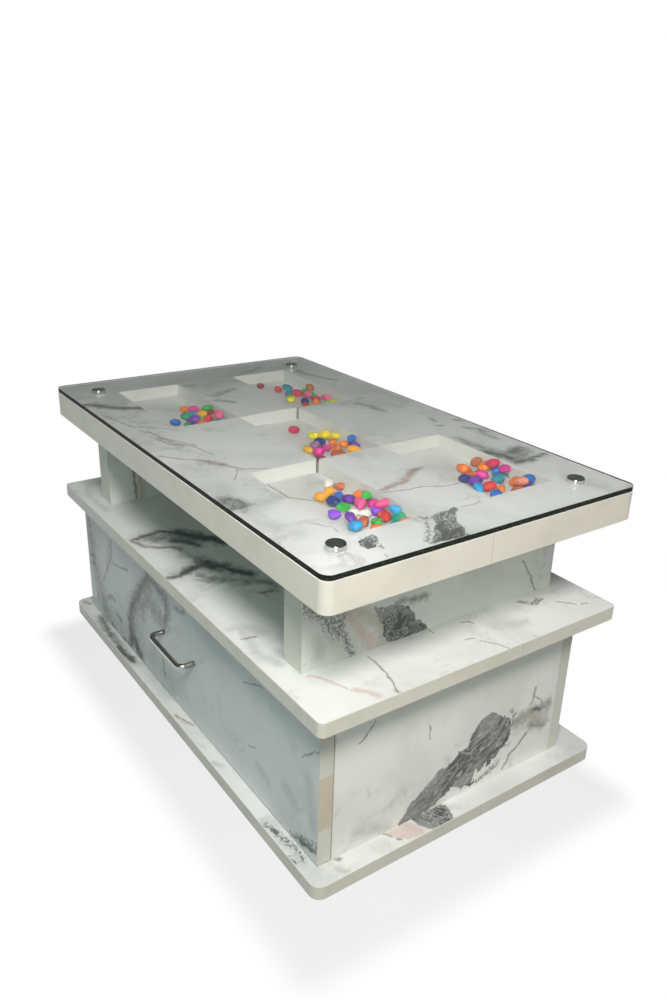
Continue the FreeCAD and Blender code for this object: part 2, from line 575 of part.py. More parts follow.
def top():
    """Floor board and deck of the top, the band round both, and the screws into the uprights."""
    size = ["sizes.table_length", "sizes.table_width", "2 * sizes.board"]
    inner = [f"({size[0]} - 2 * sizes.edge_band)", f"({size[1]} - 2 * sizes.edge_band)", "sizes.board"]
    corner = "(sizes.top_corner - sizes.edge_band)"
    screws = [(x, y) for layer in (OUTER_LAYER, INNER_LAYER) for x in both_ends(layer)
              for y in both_ends(TOP_SCREW)]
    floor = board("top_floor_board", inner, ("0", "0", TOP_BOTTOM), corner)
    countersink(floor, "XY_Plane", screws, "sizes.board")
    drill(floor, "XY_Plane", CAP_SPOTS, SCREW_HOLE, GLASS_PILOT, "sizes.board")
    deck = board("top_deck", inner, ("0", "0", DECK_BOTTOM), corner)
    across, along = f"{CELL_LENGTH} + 2 * sizes.edge_band", f"{CELL_WIDTH} + 2 * sizes.edge_band"
    corner_recesses = sketch_on(deck, "XY_Plane")
    for column, line in RECESSES.values():
        if column:
            middle = (f"{column} * {CELL_LENGTH}", f"{line} * {CELL_WIDTH}")
            draw_rectangle(corner_recesses, across, along, *middle)
    cut(deck, corner_recesses)
    middle_recess = sketch_on(deck, "XY_Plane")
    draw_rectangle(middle_recess, across, along)
    cut(deck, middle_recess)
    drill(deck, "XY_Plane", CAP_SPOTS, SCREW_HOLE)
    frame_band("top_edge_band", size, ("0", "0", TOP_BOTTOM), "sizes.edge_band", "sizes.top_corner")
    screw = flat_screw(value(SCREW_LENGTH))
    group("top_screws", [set_down(screw, x, y, DECK_BOTTOM) for x, y in screws])
    recess_bands()


def glass_cover():
    """Glass sheet with its bushes, screws and caps."""
    sheet_of_glass = board("glass_top", ["(sizes.table_length - 2 * sizes.glass_inset)",
                                         "(sizes.table_width - 2 * sizes.glass_inset)", "sizes.glass"],
                           ("0", "0", GLASS_BOTTOM), "sizes.glass_corner")
    drill(sheet_of_glass, "XY_Plane", CAP_SPOTS, "sizes.glass_hole")
    bore = value(SCREW_HOLE) / 2
    collar = value("sizes.glass_hole") / 2 - value("sizes.screw_play")
    flange, flange_height = value("sizes.bush_diameter") / 2, value("sizes.bush_flange")
    collar_height = flange_height + value("sizes.glass") - value("sizes.screw_play")
    bush = turned([(bore, 0), (flange, 0), (flange, flange_height), (collar, flange_height),
                   (collar, collar_height), (bore, collar_height)])
    group("glass_bushes", [set_down(bush, x, y, DECK_TOP) for x, y in CAP_SPOTS])
    head_height = value("sizes.pan_height")
    screw_head = value(GLASS_SCREW_HEAD) / 2
    shank, length = value("sizes.screw_diameter") / 2, value(GLASS_SCREW_LENGTH)
    screw = turned([(0, head_height), (screw_head, head_height), (screw_head, 0), (shank, 0),
                    (shank, shank - length), (0, -length)])
    group("glass_screws", [set_down(screw, x, y, GLASS_TOP) for x, y in CAP_SPOTS])
    radius, height, bevel = (value(f"sizes.cap_{name}") for name in ("diameter / 2", "height", "bevel"))
    roof = height - value("sizes.cap_roof")
    hollow = screw_head + value("sizes.cap_play")
    cap = turned([(0, roof), (hollow, roof), (hollow, 0), (radius, 0), (radius, height - bevel),
                  (radius - bevel, height), (0, height)])
    group("glass_caps", [set_down(cap, x, y, GLASS_TOP) for x, y in CAP_SPOTS])


def polygon_apart(first, second, air):
    """Says whether two convex outlines stay a distance apart along the normal of one of their sides."""
    for outline in (first, second):
        for (x0, y0), (x1, y1) in zip(outline, outline[1:] + outline[:1]):
            run = math.hypot(x1 - x0, y1 - y0)
            nx, ny = (y1 - y0) / run, (x0 - x1) / run
            reach_first = [x * nx + y * ny for x, y in first]
            reach_second = [x * nx + y * ny for x, y in second]
            if min(reach_second) - max(reach_first) >= air or min(reach_first) - max(reach_second) >= air:
                return True
    return False


class Pebble:
    """A tumbled stone with a flat underside: rings of one many-sided outline, each scaled about its middle."""

    def __init__(self, draw):
        size = draw.uniform(*PEBBLE_SIZE_RANGE)
        self.half_long = value("sizes.pebble_long") / 2 * size
        self.half_short = self.half_long * draw.uniform(*PEBBLE_WIDTH_RANGE)
        self.thick = value("sizes.pebble_thick") * size * draw.uniform(*PEBBLE_THICK_RANGE)
        self.turn = draw.uniform(0, math.pi)
        self.x, self.y, self.z = 0.0, 0.0, 0.0

    def outline(self, scale=1.0):
        """Returns the outline of the ring with a given scale."""
        corners = []
        for number in range(PEBBLE_SIDES):
            angle = 2 * math.pi * number / PEBBLE_SIDES
            along, across = self.half_long * math.cos(angle), self.half_short * math.sin(angle)
            corners.append((self.x + scale * (along * math.cos(self.turn) - across * math.sin(self.turn)),
                            self.y + scale * (along * math.sin(self.turn) + across * math.cos(self.turn))))
        return corners

    def clear_of(self, others, air):
        """Says whether the stone's outline keeps clear of other stones."""
        return all(polygon_apart(self.outline(), other.outline(), air) for other in others)

    def solid(self):
        """Returns the stone as a solid with flat facets."""
        rings = []
        for share, scale in PEBBLE_RINGS:
            height = self.z + share * self.thick
            rings.append([FreeCAD.Vector(x, y, height) for x, y in self.outline(scale)])
        faces = [Part.Face(Part.makePolygon(ring + ring[:1])) for ring in (rings[0], rings[-1])]
        for lower, upper in zip(rings, rings[1:]):
            for number in range(PEBBLE_SIDES):
                after = (number + 1) % PEBBLE_SIDES
                corners = [lower[number], lower[after], upper[after], upper[number], lower[number]]
                faces.append(Part.Face(Part.makePolygon(corners)))
        solid = Part.Solid(Part.Shell(faces))
        return solid if solid.Volume > 0 else solid.reversed()

    def outline_at(self, height):
        """Returns the outline at a height, or that of the nearest end of the stone."""
        share = min(max((height - self.z) / self.thick, 0), 1)
        for (low, low_scale), (high, high_scale) in zip(PEBBLE_RINGS, PEBBLE_RINGS[1:]):
            if share <= high:
                return self.outline(low_scale + (high_scale - low_scale) * (share - low) / (high - low))

    def rests_clear(self, other, air):
        """Says whether the stone keeps clear of one below it, level by level."""
        crest = other.z + other.thick
        if self.z >= crest + air:
            return True
        levels = [self.z + (crest - self.z) * number / SINK_LEVELS for number in range(SINK_LEVELS + 1)]
        return all(polygon_apart(self.outline_at(level), other.outline_at(level), air) for level in levels)

    def sink(self, others, floor, air):
        """Lets the stone down from above until only a little air is left under it."""
        low, high = floor, max((other.z + other.thick + air for other in others), default=floor)
        for _ in range(SINK_STEPS):
            self.z = (low + high) / 2
            if all(self.rests_clear(other, air) for other in others):
                high = self.z
            else:
                low = self.z
        self.z = high


def heap(column, line, lying, on_top):
    """Lays pebbles on a recess's floor and then a few on top of them, none cutting into another."""
    half_length, half_width = value(CELL_LENGTH) / 2, value(CELL_WIDTH) / 2
    air, floor, ceiling = value("sizes.pebble_air"), value(DECK_BOTTOM), value(GLASS_BOTTOM)
    middle_x, middle_y = 2 * half_length * column, 2 * half_width * line
    draw = random.Random(PEBBLE_SEED + 3 * column + line)
    settled = []
    for places in (lying, on_top):
        layer = []
        for along, across in places:
            stone = Pebble(draw)
            for step in range(SPIRAL_STEPS):
                reach = value("sizes.pebble_drift") * math.sqrt(step / SPIRAL_STEPS)
                stone.x = middle_x + half_length * along / 100 + reach * math.cos(SPIRAL_TURN * step)
                stone.y = middle_y + half_width * across / 100 + reach * math.sin(SPIRAL_TURN * step)
                inside = all(abs(x - middle_x) < half_length - air and abs(y - middle_y) < half_width - air
                             for x, y in stone.outline())
                if not inside or not stone.clear_of(layer, air):
                    continue
                stone.sink([other for other in settled if not stone.clear_of([other], air)], floor, air)
                if stone.z + stone.thick < ceiling - air:
                    layer.append(stone)
                    break
        settled += layer
    return [stone.solid() for stone in settled]


def pebbles():
    """Five heaps of pebbles, one in each recess."""
    for name, (column, line) in RECESSES.items():
        group(f"pebbles_{name}", heap(column, line, *HEAPS[name]))


def rail_profiles():
    """Returns the sections of a runner's three rails, as expressions of depth into the runner and height."""
    gauge, play, lip = "sizes.rail_gauge", "sizes.rail_play", "sizes.rail_lip"
    tall = "sizes.runner_height / 2"
    middle_tall = f"({tall} - {gauge} - {play})"
    inner_tall = f"({middle_tall} - {gauge} - {play})"
    neck = f"({middle_tall} - {gauge} - {lip} - {play})"

    def channel(back, front, height):
        """Returns a channel with lips turned in at its mouth."""
        upper = [(back, height), (front, height), (front, f"{height} - {gauge} - {lip}"),
                 (f"{front} - {gauge}", f"{height} - {gauge} - {lip}"),
                 (f"{front} - {gauge}", f"{height} - {gauge}"),
                 (f"{back} + {gauge}", f"{height} - {gauge}")]
        return upper + [(x, f"-({y})") for x, y in reversed(upper)]

    lip_face = f"{DRAWER_RAIL_BACK} + {gauge}"
    hat = [(DRAWER_RAIL_BACK, inner_tall), (lip_face, inner_tall), (lip_face, neck), (RUNNER_WIDTH, neck)]
    inside = [(DRAWER_RAIL_BACK, f"{neck} - {gauge}"), (f"{RUNNER_WIDTH} - {gauge}", f"{neck} - {gauge}")]
    drawer = hat + [(x, f"-({y})") for x, y in reversed(hat)]
    drawer += [(x, f"-({y})") for x, y in inside] + list(reversed(inside))
    return {
        "cabinet": channel("0", CABINET_RAIL_MOUTH, tall),
        "middle": channel(MIDDLE_RAIL_BACK, MIDDLE_RAIL_MOUTH, middle_tall),
        "drawer": drawer,
    }


def runners():
    """Two telescopic runners of three rails each, with the screws that hold them."""
    cabinet_screws = []
    drawer_screws = []
    screw = pan_screw(value("sizes.rail_gauge + sizes.rail_screw_bite"), value("sizes.rail_screw_head"))
    profiles = rail_profiles()
    for side, sign in SIDES.items():
        for rail, outline in profiles.items():
            body = new_body(f"{side}_runner_{rail}_rail")
            sketch = sketch_on(body, "XZ_Plane")
            draw_outline(sketch, [(f"{-sign} * ({x})", y) for x, y in outline])
            pad(body, sketch, RUNNER_LENGTH, flip=True)
            places = [(f"{y} - {RUNNER_FRONT}", "0") for y in RUNNER_SCREWS_Y]
            if rail == "cabinet":
                drill(body, "YZ_Plane", places, SCREW_HOLE, "sizes.rail_gauge", flip=sign < 0)
            if rail == "drawer":
                drill(body, "YZ_Plane", places, SCREW_HOLE, "sizes.rail_gauge",
                      f"{-sign} * {RUNNER_WIDTH}", flip=sign > 0)
            place(body, f"{sign} * {PANEL_INNER}", RUNNER_FRONT, RUNNER_Z)
        for y in RUNNER_SCREWS_Y:
            seat = f"{sign} * ({PANEL_INNER} - sizes.rail_gauge)"
            cabinet_screws.append(set_down(screw, seat, y, RUNNER_Z, (sign, 0, 0)))
            seat = f"{sign} * ({DRAWER_SIDE} + sizes.rail_gauge)"
            drawer_screws.append(set_down(screw, seat, y, RUNNER_Z, (-sign, 0, 0)))
    group("runner_cabinet_screws", cabinet_screws)
    group("runner_drawer_screws", drawer_screws)


def drawer_box():
    """Sides, inner front, back and bottom of the drawer, with the screws that join them."""
    wall, tall, thick = "sizes.drawer_wall", DRAWER_HEIGHT, "sizes.drawer_bottom"
    groove_tall = f"({thick} + sizes.groove_play)"
    groove_middle = f"(sizes.bottom_lift + {groove_tall} / 2)"
    ends_y = [f"({FRONT_BACK} + {wall} / 2)", f"({DRAWER_BACK_Y} - {wall} / 2)"]
    holes = [(f"{y} - {DRAWER_MIDDLE_Y}", f"{z} - {DRAWER_BOTTOM_Z}") for y in ends_y for z in BOX_SCREWS_Z]
    run = f"({DRAWER_DEPTH} - 2 * {wall} + 2 * sizes.groove_depth)"
    screws = []
    screw = flat_screw(value("sizes.drawer_wall + sizes.box_screw_bite"))
    for side, sign in SIDES.items():
        body = board(f"drawer_{side}_side", [wall, DRAWER_DEPTH, tall],
                     (f"{sign} * ({DRAWER_SIDE} - {wall} / 2)", DRAWER_MIDDLE_Y, DRAWER_BOTTOM_Z))
        groove = sketch_on(body, "YZ_Plane", f"{-sign} * {wall} / 2")
        draw_rectangle(groove, run, groove_tall, "0", groove_middle)
        cut(body, groove, "sizes.groove_depth", flip=sign > 0)
        countersink(body, "YZ_Plane", holes, f"{sign} * {wall} / 2", flip=sign < 0)
        rails = [(f"{y} - {DRAWER_MIDDLE_Y}", f"{RUNNER_Z} - {DRAWER_BOTTOM_Z}") for y in RUNNER_SCREWS_Y]
        drill(body, "YZ_Plane", rails, SCREW_HOLE, "sizes.rail_screw_bite + sizes.drill_relief",
              f"{sign} * {wall} / 2", flip=sign < 0)
        for y in ends_y:
            for z in BOX_SCREWS_Z:
                screws.append(set_down(screw, f"{sign} * {DRAWER_SIDE}", y, z, (-sign, 0, 0)))
    group("drawer_box_screws", screws)
    pilot = "sizes.box_screw_bite + sizes.drill_relief"
    ends = {"drawer_inner_front": (ends_y[0], 1), "drawer_back": (ends_y[1], -1)}
    for label, (middle_y, inward) in ends.items():
        body = board(label, [f"2 * {DRAWER_INSIDE}", wall, tall], ("0", middle_y, DRAWER_BOTTOM_Z))
        groove = sketch_on(body, "XZ_Plane", f"{-inward} * {wall} / 2")
        draw_rectangle(groove, f"2 * {DRAWER_INSIDE}", groove_tall, "0", groove_middle)
        cut(body, groove, "sizes.groove_depth", flip=inward > 0)
        for sign in SIDES.values():
            spots = [("0", f"{z} - {DRAWER_BOTTOM_Z}") for z in BOX_SCREWS_Z]
            drill(body, "YZ_Plane", spots, SCREW_HOLE, pilot, f"{sign} * {DRAWER_INSIDE}", flip=sign < 0)
        if inward > 0:
            spots = [(x, f"{z} - {DRAWER_BOTTOM_Z}") for x in FRONT_SCREWS_X for z in BOX_SCREWS_Z]
            spots += [(x, f"{HANDLE_Z} - {DRAWER_BOTTOM_Z}") for x in both_ends("sizes.handle_centres / 2")]
            drill(body, "XZ_Plane", spots, SCREW_HOLE)
    reach = "(sizes.groove_depth - sizes.groove_play)"
    board("drawer_bottom", [f"2 * ({DRAWER_INSIDE} + {reach})",
                            f"({DRAWER_DEPTH} - 2 * {wall} + 2 * {reach})", thick],
          ("0", DRAWER_MIDDLE_Y, GROOVE_LOW))


def drawer_front():
    """Drawer front with its edge band and the screws that hold it and the handle."""
    tall = "(sizes.box_height - 2 * sizes.front_reveal)"
    low = "(sizes.board + sizes.front_reveal)"
    middle_y = f"({FRONT_FACE} + sizes.board / 2)"
    body = board("drawer_front", [f"2 * ({BOX_END} - sizes.edge_band)", "sizes.board",
                                  f"({tall} - 2 * sizes.edge_band)"],
                 ("0", middle_y, f"{low} + sizes.edge_band"))
    spots = [(x, f"{z} - {low} - sizes.edge_band") for x in FRONT_SCREWS_X for z in BOX_SCREWS_Z]
    drill(body, "XZ_Plane", spots, SCREW_HOLE, "sizes.front_screw_bite + sizes.drill_relief",
          "-sizes.board / 2", flip=True)
    handle_holes = [(x, f"{HANDLE_Z} - {low} - sizes.edge_band") for x in both_ends("sizes.handle_centres / 2")]
    drill(body, "XZ_Plane", handle_holes, SCREW_HOLE)
    band = board("drawer_front_edge_band", [f"2 * {BOX_END}", "sizes.board", tall], ("0", middle_y, low))
    opening = sketch_on(band, "XZ_Plane")
    draw_rectangle(opening, f"2 * ({BOX_END} - sizes.edge_band)", f"{tall} - 2 * sizes.edge_band",
                   "0", f"{tall} / 2")
    cut(band, opening)
    seat = f"{FRONT_BACK} + sizes.drawer_wall"
    screw = pan_screw(value("sizes.drawer_wall + sizes.front_screw_bite"), value("sizes.pan_height"))
    group("drawer_front_screws", [set_down(screw, x, seat, z, (0, -1, 0))
                                  for x in FRONT_SCREWS_X for z in BOX_SCREWS_Z])
    long_screw = pan_screw(value("sizes.drawer_wall + sizes.board + sizes.handle_bite"),
                           value("sizes.pan_height"))
    group("handle_screws", [set_down(long_screw, x, seat, HANDLE_Z, (0, -1, 0))
                            for x in both_ends("sizes.handle_centres / 2")])


def handle():
    """Bow handle: a round bar bent at both ends, whose legs stand on the drawer front."""
    body = new_body("drawer_handle")
    half = "sizes.handle_centres / 2"
    bend, reach, end = value("sizes.handle_bend"), value("sizes.handle_reach"), value(half)
    straight, knee = end - bend, bend - reach
    up, quarter = FreeCAD.Vector(0, 0, 1), math.pi / 2
    left_bend = Part.Circle(FreeCAD.Vector(-straight, knee, 0), up, bend)
    right_bend = Part.Circle(FreeCAD.Vector(straight, knee, 0), up, bend)
    path = sketch_on(body, "XY_Plane")
    run = [
        path.addGeometry(Part.LineSegment(FreeCAD.Vector(-end, 0, 0), FreeCAD.Vector(-end, knee, 0))),
        path.addGeometry(Part.ArcOfCircle(left_bend, 2 * quarter, 3 * quarter)),
        path.addGeometry(Part.LineSegment(FreeCAD.Vector(-straight, -reach, 0),
                                          FreeCAD.Vector(straight, -reach, 0))),
        path.addGeometry(Part.ArcOfCircle(right_bend, 3 * quarter, 4 * quarter)),
        path.addGeometry(Part.LineSegment(FreeCAD.Vector(end, knee, 0), FreeCAD.Vector(end, 0, 0))),
    ]
    for piece, following in zip(run, run[1:]):
        path.addConstraint(Sketcher.Constraint("Tangent", piece, 2, following, 1))
    path.addConstraint(Sketcher.Constraint("Equal", run[1], run[3]))
    path.addConstraint(Sketcher.Constraint("Horizontal", run[2]))
    bind(path, "Radius", run[1], "sizes.handle_bend")
    bind(path, "DistanceY", -1, 1, run[2], 1, "-sizes.handle_reach")
    for leg, point, sign in ((run[0], 1, -1), (run[4], 2, 1)):
        bind(path, "DistanceX", -1, 1, leg, point, f"{sign} * {half}")
        path.addConstraint(Sketcher.Constraint("PointOnObject", leg, point, -1))
        path.addConstraint(Sketcher.Constraint("Vertical", leg))
    section = sketch_on(body, "XZ_Plane")
    draw_circles(section, [(f"-{half}", "0")], "sizes.handle_bar")
    bow = body.newObject("PartDesign::AdditivePipe", "handle_bow")
    bow.Profile = section
    bow.Spine = path
    doc.recompute()
    drill(body, "XZ_Plane", [(x, "0") for x in both_ends(half)], SCREW_HOLE,
          "sizes.handle_bite + sizes.drill_relief", flip=True)
    place(body, "0", FRONT_FACE, HANDLE_Z)


def write_pieces():
    """Checks every object and every piece, then writes one file for each piece."""
    for part in doc.Objects:
        if {"Invalid", "Error"} & set(part.State):
            raise RuntimeError(f"{part.Label} failed: {part.State}")
    for piece in pieces:
        if piece.Shape.isNull() or not piece.Shape.isValid() or piece.Shape.Volume <= 0:
            raise RuntimeError(f"{piece.Label} has no sound shape")
    os.makedirs("parts", exist_ok=True)
    for piece in pieces:
        piece.Shape.exportStep(f"parts/{piece.Label}.step")
    solids = sum(len(piece.Shape.Solids) for piece in pieces)
    print(f"{len(pieces)} pieces, {solids} solids")


base()
lower_box()
shelf()
uprights()
top()
glass_cover()
pebbles()
runners()
drawer_box()
drawer_front()
handle()
doc.recompute()
write_pieces()
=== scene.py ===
"""Looks of a low coffee table with five trays of dyed pebbles under a glass sheet.

Lengths are in metres in the shared frame: X runs along the table, the drawer faces -Y and Z is up. Marks on
the printed boards are given in millimetres on the board's face, as a maker would set them out.
"""
from __future__ import annotations

import logging
import math
from dataclasses import dataclass, field
from enum import Enum
from typing import Any, Sequence, Union

import bpy
import numpy as np
from mathutils import Matrix, Vector


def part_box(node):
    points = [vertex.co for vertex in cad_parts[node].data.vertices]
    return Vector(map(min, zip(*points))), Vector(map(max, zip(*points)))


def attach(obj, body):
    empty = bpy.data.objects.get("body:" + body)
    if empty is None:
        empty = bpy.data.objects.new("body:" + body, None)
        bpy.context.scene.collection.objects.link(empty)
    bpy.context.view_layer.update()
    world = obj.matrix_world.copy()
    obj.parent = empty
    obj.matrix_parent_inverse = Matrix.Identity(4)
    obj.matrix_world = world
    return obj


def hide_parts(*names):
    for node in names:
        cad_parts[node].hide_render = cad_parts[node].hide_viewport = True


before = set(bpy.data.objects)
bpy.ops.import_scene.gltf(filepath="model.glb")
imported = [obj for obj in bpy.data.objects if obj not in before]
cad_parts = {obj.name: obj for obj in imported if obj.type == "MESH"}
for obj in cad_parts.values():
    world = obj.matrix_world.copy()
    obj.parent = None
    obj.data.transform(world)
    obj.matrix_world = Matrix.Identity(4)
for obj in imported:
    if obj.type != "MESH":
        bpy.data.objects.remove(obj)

Colour = tuple[float, float, float, float]
Point = tuple[float, float, float]
Pair = tuple[float, float]
LOG = logging.getLogger("coffee_table")
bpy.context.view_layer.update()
MM = 0.001
FILM_SHEEN = 0.22
BRIGHTENED_DYE_LAYER = "dye"
WHITE: Colour = (1.0, 1.0, 1.0, 1.0)


def display(red: int, green: int, blue: int) -> Colour:
    """Returns a linear colour from the three levels, 0 to 255, that a display shows.

    Args:
        red: red level.
        green: green level.
        blue: blue level.

    Returns:
        Linear red, green and blue, and an alpha of one.
    """
    levels = np.array([red, green, blue]) / 255
    linear = np.where(levels <= 0.04045, levels / 12.92, ((levels + 0.055) / 1.055) ** 2.4)
    return (*linear.tolist(), 1.0)


class Value:
    """A shader socket that takes part in Python expressions; each operation adds one Math node."""

    def __init__(self, graph: Graph, socket: bpy.types.NodeSocket) -> None:
        """Wraps an output socket of a graph."""
        self.graph = graph
        self.socket = socket

    def __add__(self, other: Number) -> Value:
        """Returns the sum."""
        return self.graph.maths("ADD", self, other)

    __radd__ = __add__

    def __sub__(self, other: Number) -> Value:
        """Returns the difference."""
        return self.graph.maths("SUBTRACT", self, other)

    def __rsub__(self, other: float) -> Value:
        """Returns a number less this value."""
        return self.graph.maths("SUBTRACT", other, self)

    def __mul__(self, other: Number) -> Value:
        """Returns the product."""
        return self.graph.maths("MULTIPLY", self, other)

    __rmul__ = __mul__

    def __abs__(self) -> Value:
        """Returns the size without its sign."""
        return self.graph.maths("ABSOLUTE", self)


Number = Union[Value, float]
Tint = Union[Value, Colour]


@dataclass(frozen=True)
class Noise:
    """The settings of one cloudy noise.

    Attributes:
        size: width of its largest clouds, in metres.
        detail: how many finer layers are added.
        roughness: how strong those are.
        distortion: how far the clouds are swirled.
        limits: noise at which a patch starts and at which it is full; for veins, how far off the middle.
    """

    size: float
    detail: float = 3
    roughness: float = 0.5
    distortion: float = 0
    limits: Pair = (0.0, 1.0)


class Graph:
    """A node tree that is written as expressions."""

    def __init__(self, tree: bpy.types.NodeTree) -> None:
        """Empties a node tree and takes it over."""
        self.tree = tree
        self.tree.nodes.clear()

    def node(self, kind: str, settings: dict[str, Any] | None = None,
             sockets: dict[str | int, Any] | None = None, output: str | int = 0) -> Value:
        """Adds a node of any type.

        Args:
            kind: type name of the node.
            settings: the node's own settings, which are set first.
            sockets: values or links by socket name or number.
            output: name or number of the output to return.

        Returns:
            The chosen output.
        """
        made = self.tree.nodes.new(kind)
        for name, setting in (settings or {}).items():
            setattr(made, name, setting)
        for key, given in (sockets or {}).items():
            if isinstance(given, Value):
                self.tree.links.new(given.socket, made.inputs[key])
            else:
                made.inputs[key].default_value = given
        return Value(self, made.outputs[output])

    def maths(self, operation: str, *operands: Number) -> Value:
        """Returns a Math node's result."""
        return self.node("ShaderNodeMath", {"operation": operation}, dict(enumerate(operands)))

    def held(self, value: Value) -> Value:
        """Returns a value held between 0 and 1, by two plain nodes that long prints have room for."""
        return self.maths("MINIMUM", self.maths("MAXIMUM", value, 0.0), 1.0)

    def vector(self, operation: str, *operands: Any, output: str | int = 0) -> Value:
        """Returns a Vector Math node's result; output 1 is its number."""
        return self.node("ShaderNodeVectorMath", {"operation": operation}, dict(enumerate(operands)), output)

    def scaled(self, vector: Point, size: Value) -> Value:
        """Returns a fixed vector multiplied by a value."""
        return self.node("ShaderNodeVectorMath", {"operation": "SCALE"}, {0: vector, "Scale": size})

    def place(self) -> Value:
        """Returns the place on the surface, in the shared frame."""
        return self.node("ShaderNodeTexCoord", output="Object")

    def axes(self, where: Value) -> tuple[Value, Value, Value]:
        """Returns the three numbers of a vector."""
        split = self.node("ShaderNodeSeparateXYZ", sockets={0: where}).socket.node
        return tuple(Value(self, socket) for socket in split.outputs)

    def noise(self, kind: Noise, where: Value, output: str = "Fac") -> Value:
        """Returns noise, about 0.5 on average: one number or, from the output Color, three of them."""
        sockets = {"Vector": where, "Scale": 1 / kind.size, "Detail": kind.detail,
                   "Roughness": kind.roughness, "Distortion": kind.distortion}
        return self.node("ShaderNodeTexNoise", sockets=sockets, output=output)

    def patches(self, kind: Noise, where: Value) -> Value:
        """Returns 0 where noise has not come to its limits, 1 where it is past them."""
        return self.smooth(self.noise(kind, where), *kind.limits)

    def veins(self, kind: Noise, where: Value) -> Value:
        """Returns 1 along the lines where noise is at its middle, and 0 from its limits on."""
        return self.smooth(abs(self.noise(kind, where) - 0.5), *kind.limits)

    def smooth(self, value: Number, low: float, high: float) -> Value:
        """Returns 0 below low, 1 above high and a smooth rise between; low may be the larger."""
        return self.node("ShaderNodeMapRange", {"interpolation_type": "SMOOTHSTEP"},
                         {"Value": value, "From Min": low, "From Max": high})

    def mix(self, amount: Number, first: Tint, second: Tint) -> Value:
        """Returns a colour between two."""
        return self.node("ShaderNodeMix", {"data_type": "RGBA"}, {0: amount, 6: first, 7: second}, 2)

    def bump(self, height: Value, depth: float) -> Value:
        """Returns the normal of a surface with small heights, of that depth in metres."""
        return self.node("ShaderNodeBump", sockets={"Height": height, "Distance": depth, "Strength": 1.0})

    def stir(self, where: Value, size: float, reach: Point) -> Value:
        """Returns places moved about by noise of a size, by up to about half of reach along each axis."""
        clouds = self.noise(Noise(size, 2), where, "Color")
        shift = self.vector("SUBTRACT", clouds, (0.5, 0.5, 0.5))
        return self.vector("MULTIPLY_ADD", shift, reach, where)

    def in_mirrors(self) -> Value:
        """Returns 1 for what is seen in metal or through glass, 0 for what only lights a surface."""
        path = self.node("ShaderNodeLightPath").socket.node
        glossy, through, scattered = (Value(self, path.outputs[name])
                                      for name in ("Is Glossy Ray", "Is Transmission Ray", "Diffuse Depth"))
        return self.maths("MAXIMUM", glossy, through) * self.maths("LESS_THAN", scattered, 0.5)

    def off_line(self, where: Value, start: Point, end: Point) -> Value:
        """Returns the distance from a straight stretch.

        The place is measured from the stretch's start, its share of the way along is held between 0 and 1,
        and what is left after that share of the run is taken off is the distance.

        Args:
            where: place on the surface.
            start: first end of the stretch.
            end: its other end.

        Returns:
            The distance, in metres.
        """
        run = np.subtract(end, start)
        from_start = self.vector("SUBTRACT", where, start)
        along = self.vector("DOT_PRODUCT", from_start, tuple(run / (run @ run)), output=1)
        reached = self.scaled(tuple(run), self.held(along))
        return self.vector("LENGTH", self.vector("SUBTRACT", from_start, reached), output=1)


class Paint(Graph):
    """A material built on one Principled shader."""

    def __init__(self, name: str) -> None:
        """Starts an empty material."""
        self.material = bpy.data.materials.new(name)
        self.material.use_nodes = True
        super().__init__(self.material.node_tree)

    def close(self, sockets: dict[str, Any]) -> bpy.types.Material:
        """Adds the Principled shader and the output.

        Args:
            sockets: values and links of the shader's sockets.

        Returns:
            The finished material.
        """
        return self.show(self.node("ShaderNodeBsdfPrincipled", sockets=sockets))

    def show(self, shader: Value) -> bpy.types.Material:
        """Sends a shader to the material's output and returns the material."""
        out = self.tree.nodes.new("ShaderNodeOutputMaterial")
        self.tree.links.new(shader.socket, out.inputs["Surface"])
        return self.material


class Face(Enum):
    """Which way a printed board faces; the value is the axis across the board."""

    END = 0
    FRONT = 1
    UP = 2

    def vector(self, first: float, second: float, across: float = 0.0) -> Point:
        """Returns the vector with two numbers on the face and one across it, from millimetres to metres."""
        numbers = [first * MM, second * MM]
        numbers.insert(self.value, across * MM)
        return tuple(numbers)


@dataclass(frozen=True)
class InkLook:
    """How one ink of the marble print looks.

    Attributes:
        colour: main colour.
        fleck: colour of the crystals in it.
        grain: size of those crystals, in metres.
        ragged: how far the crystals break up the ink's edge, from 0 to 1.
        edge: cover at which the ink starts and at which it is full.
        strength: how much of the ink covers the board at most.
        flecked: noise at which a crystal starts and at which it is full.
        veins: how pale the veins are that run through the ink.
    """

    colour: Colour
    fleck: Colour
    grain: float
    ragged: float
    edge: Pair
    strength: float
    flecked: Pair = (0.5, 0.66)
    veins: float = 0.0

    def crystals(self) -> Noise:
        """Returns the noise of the crystals inside the ink, which are half as large as on its edge."""
        return Noise(self.grain / 2, 4, 0.7, 0.6, self.flecked)

    def edge_crystals(self) -> Noise:
        """Returns the noise of the crystals that break up the ink's edge."""
        return Noise(self.grain, 3, 0.65)


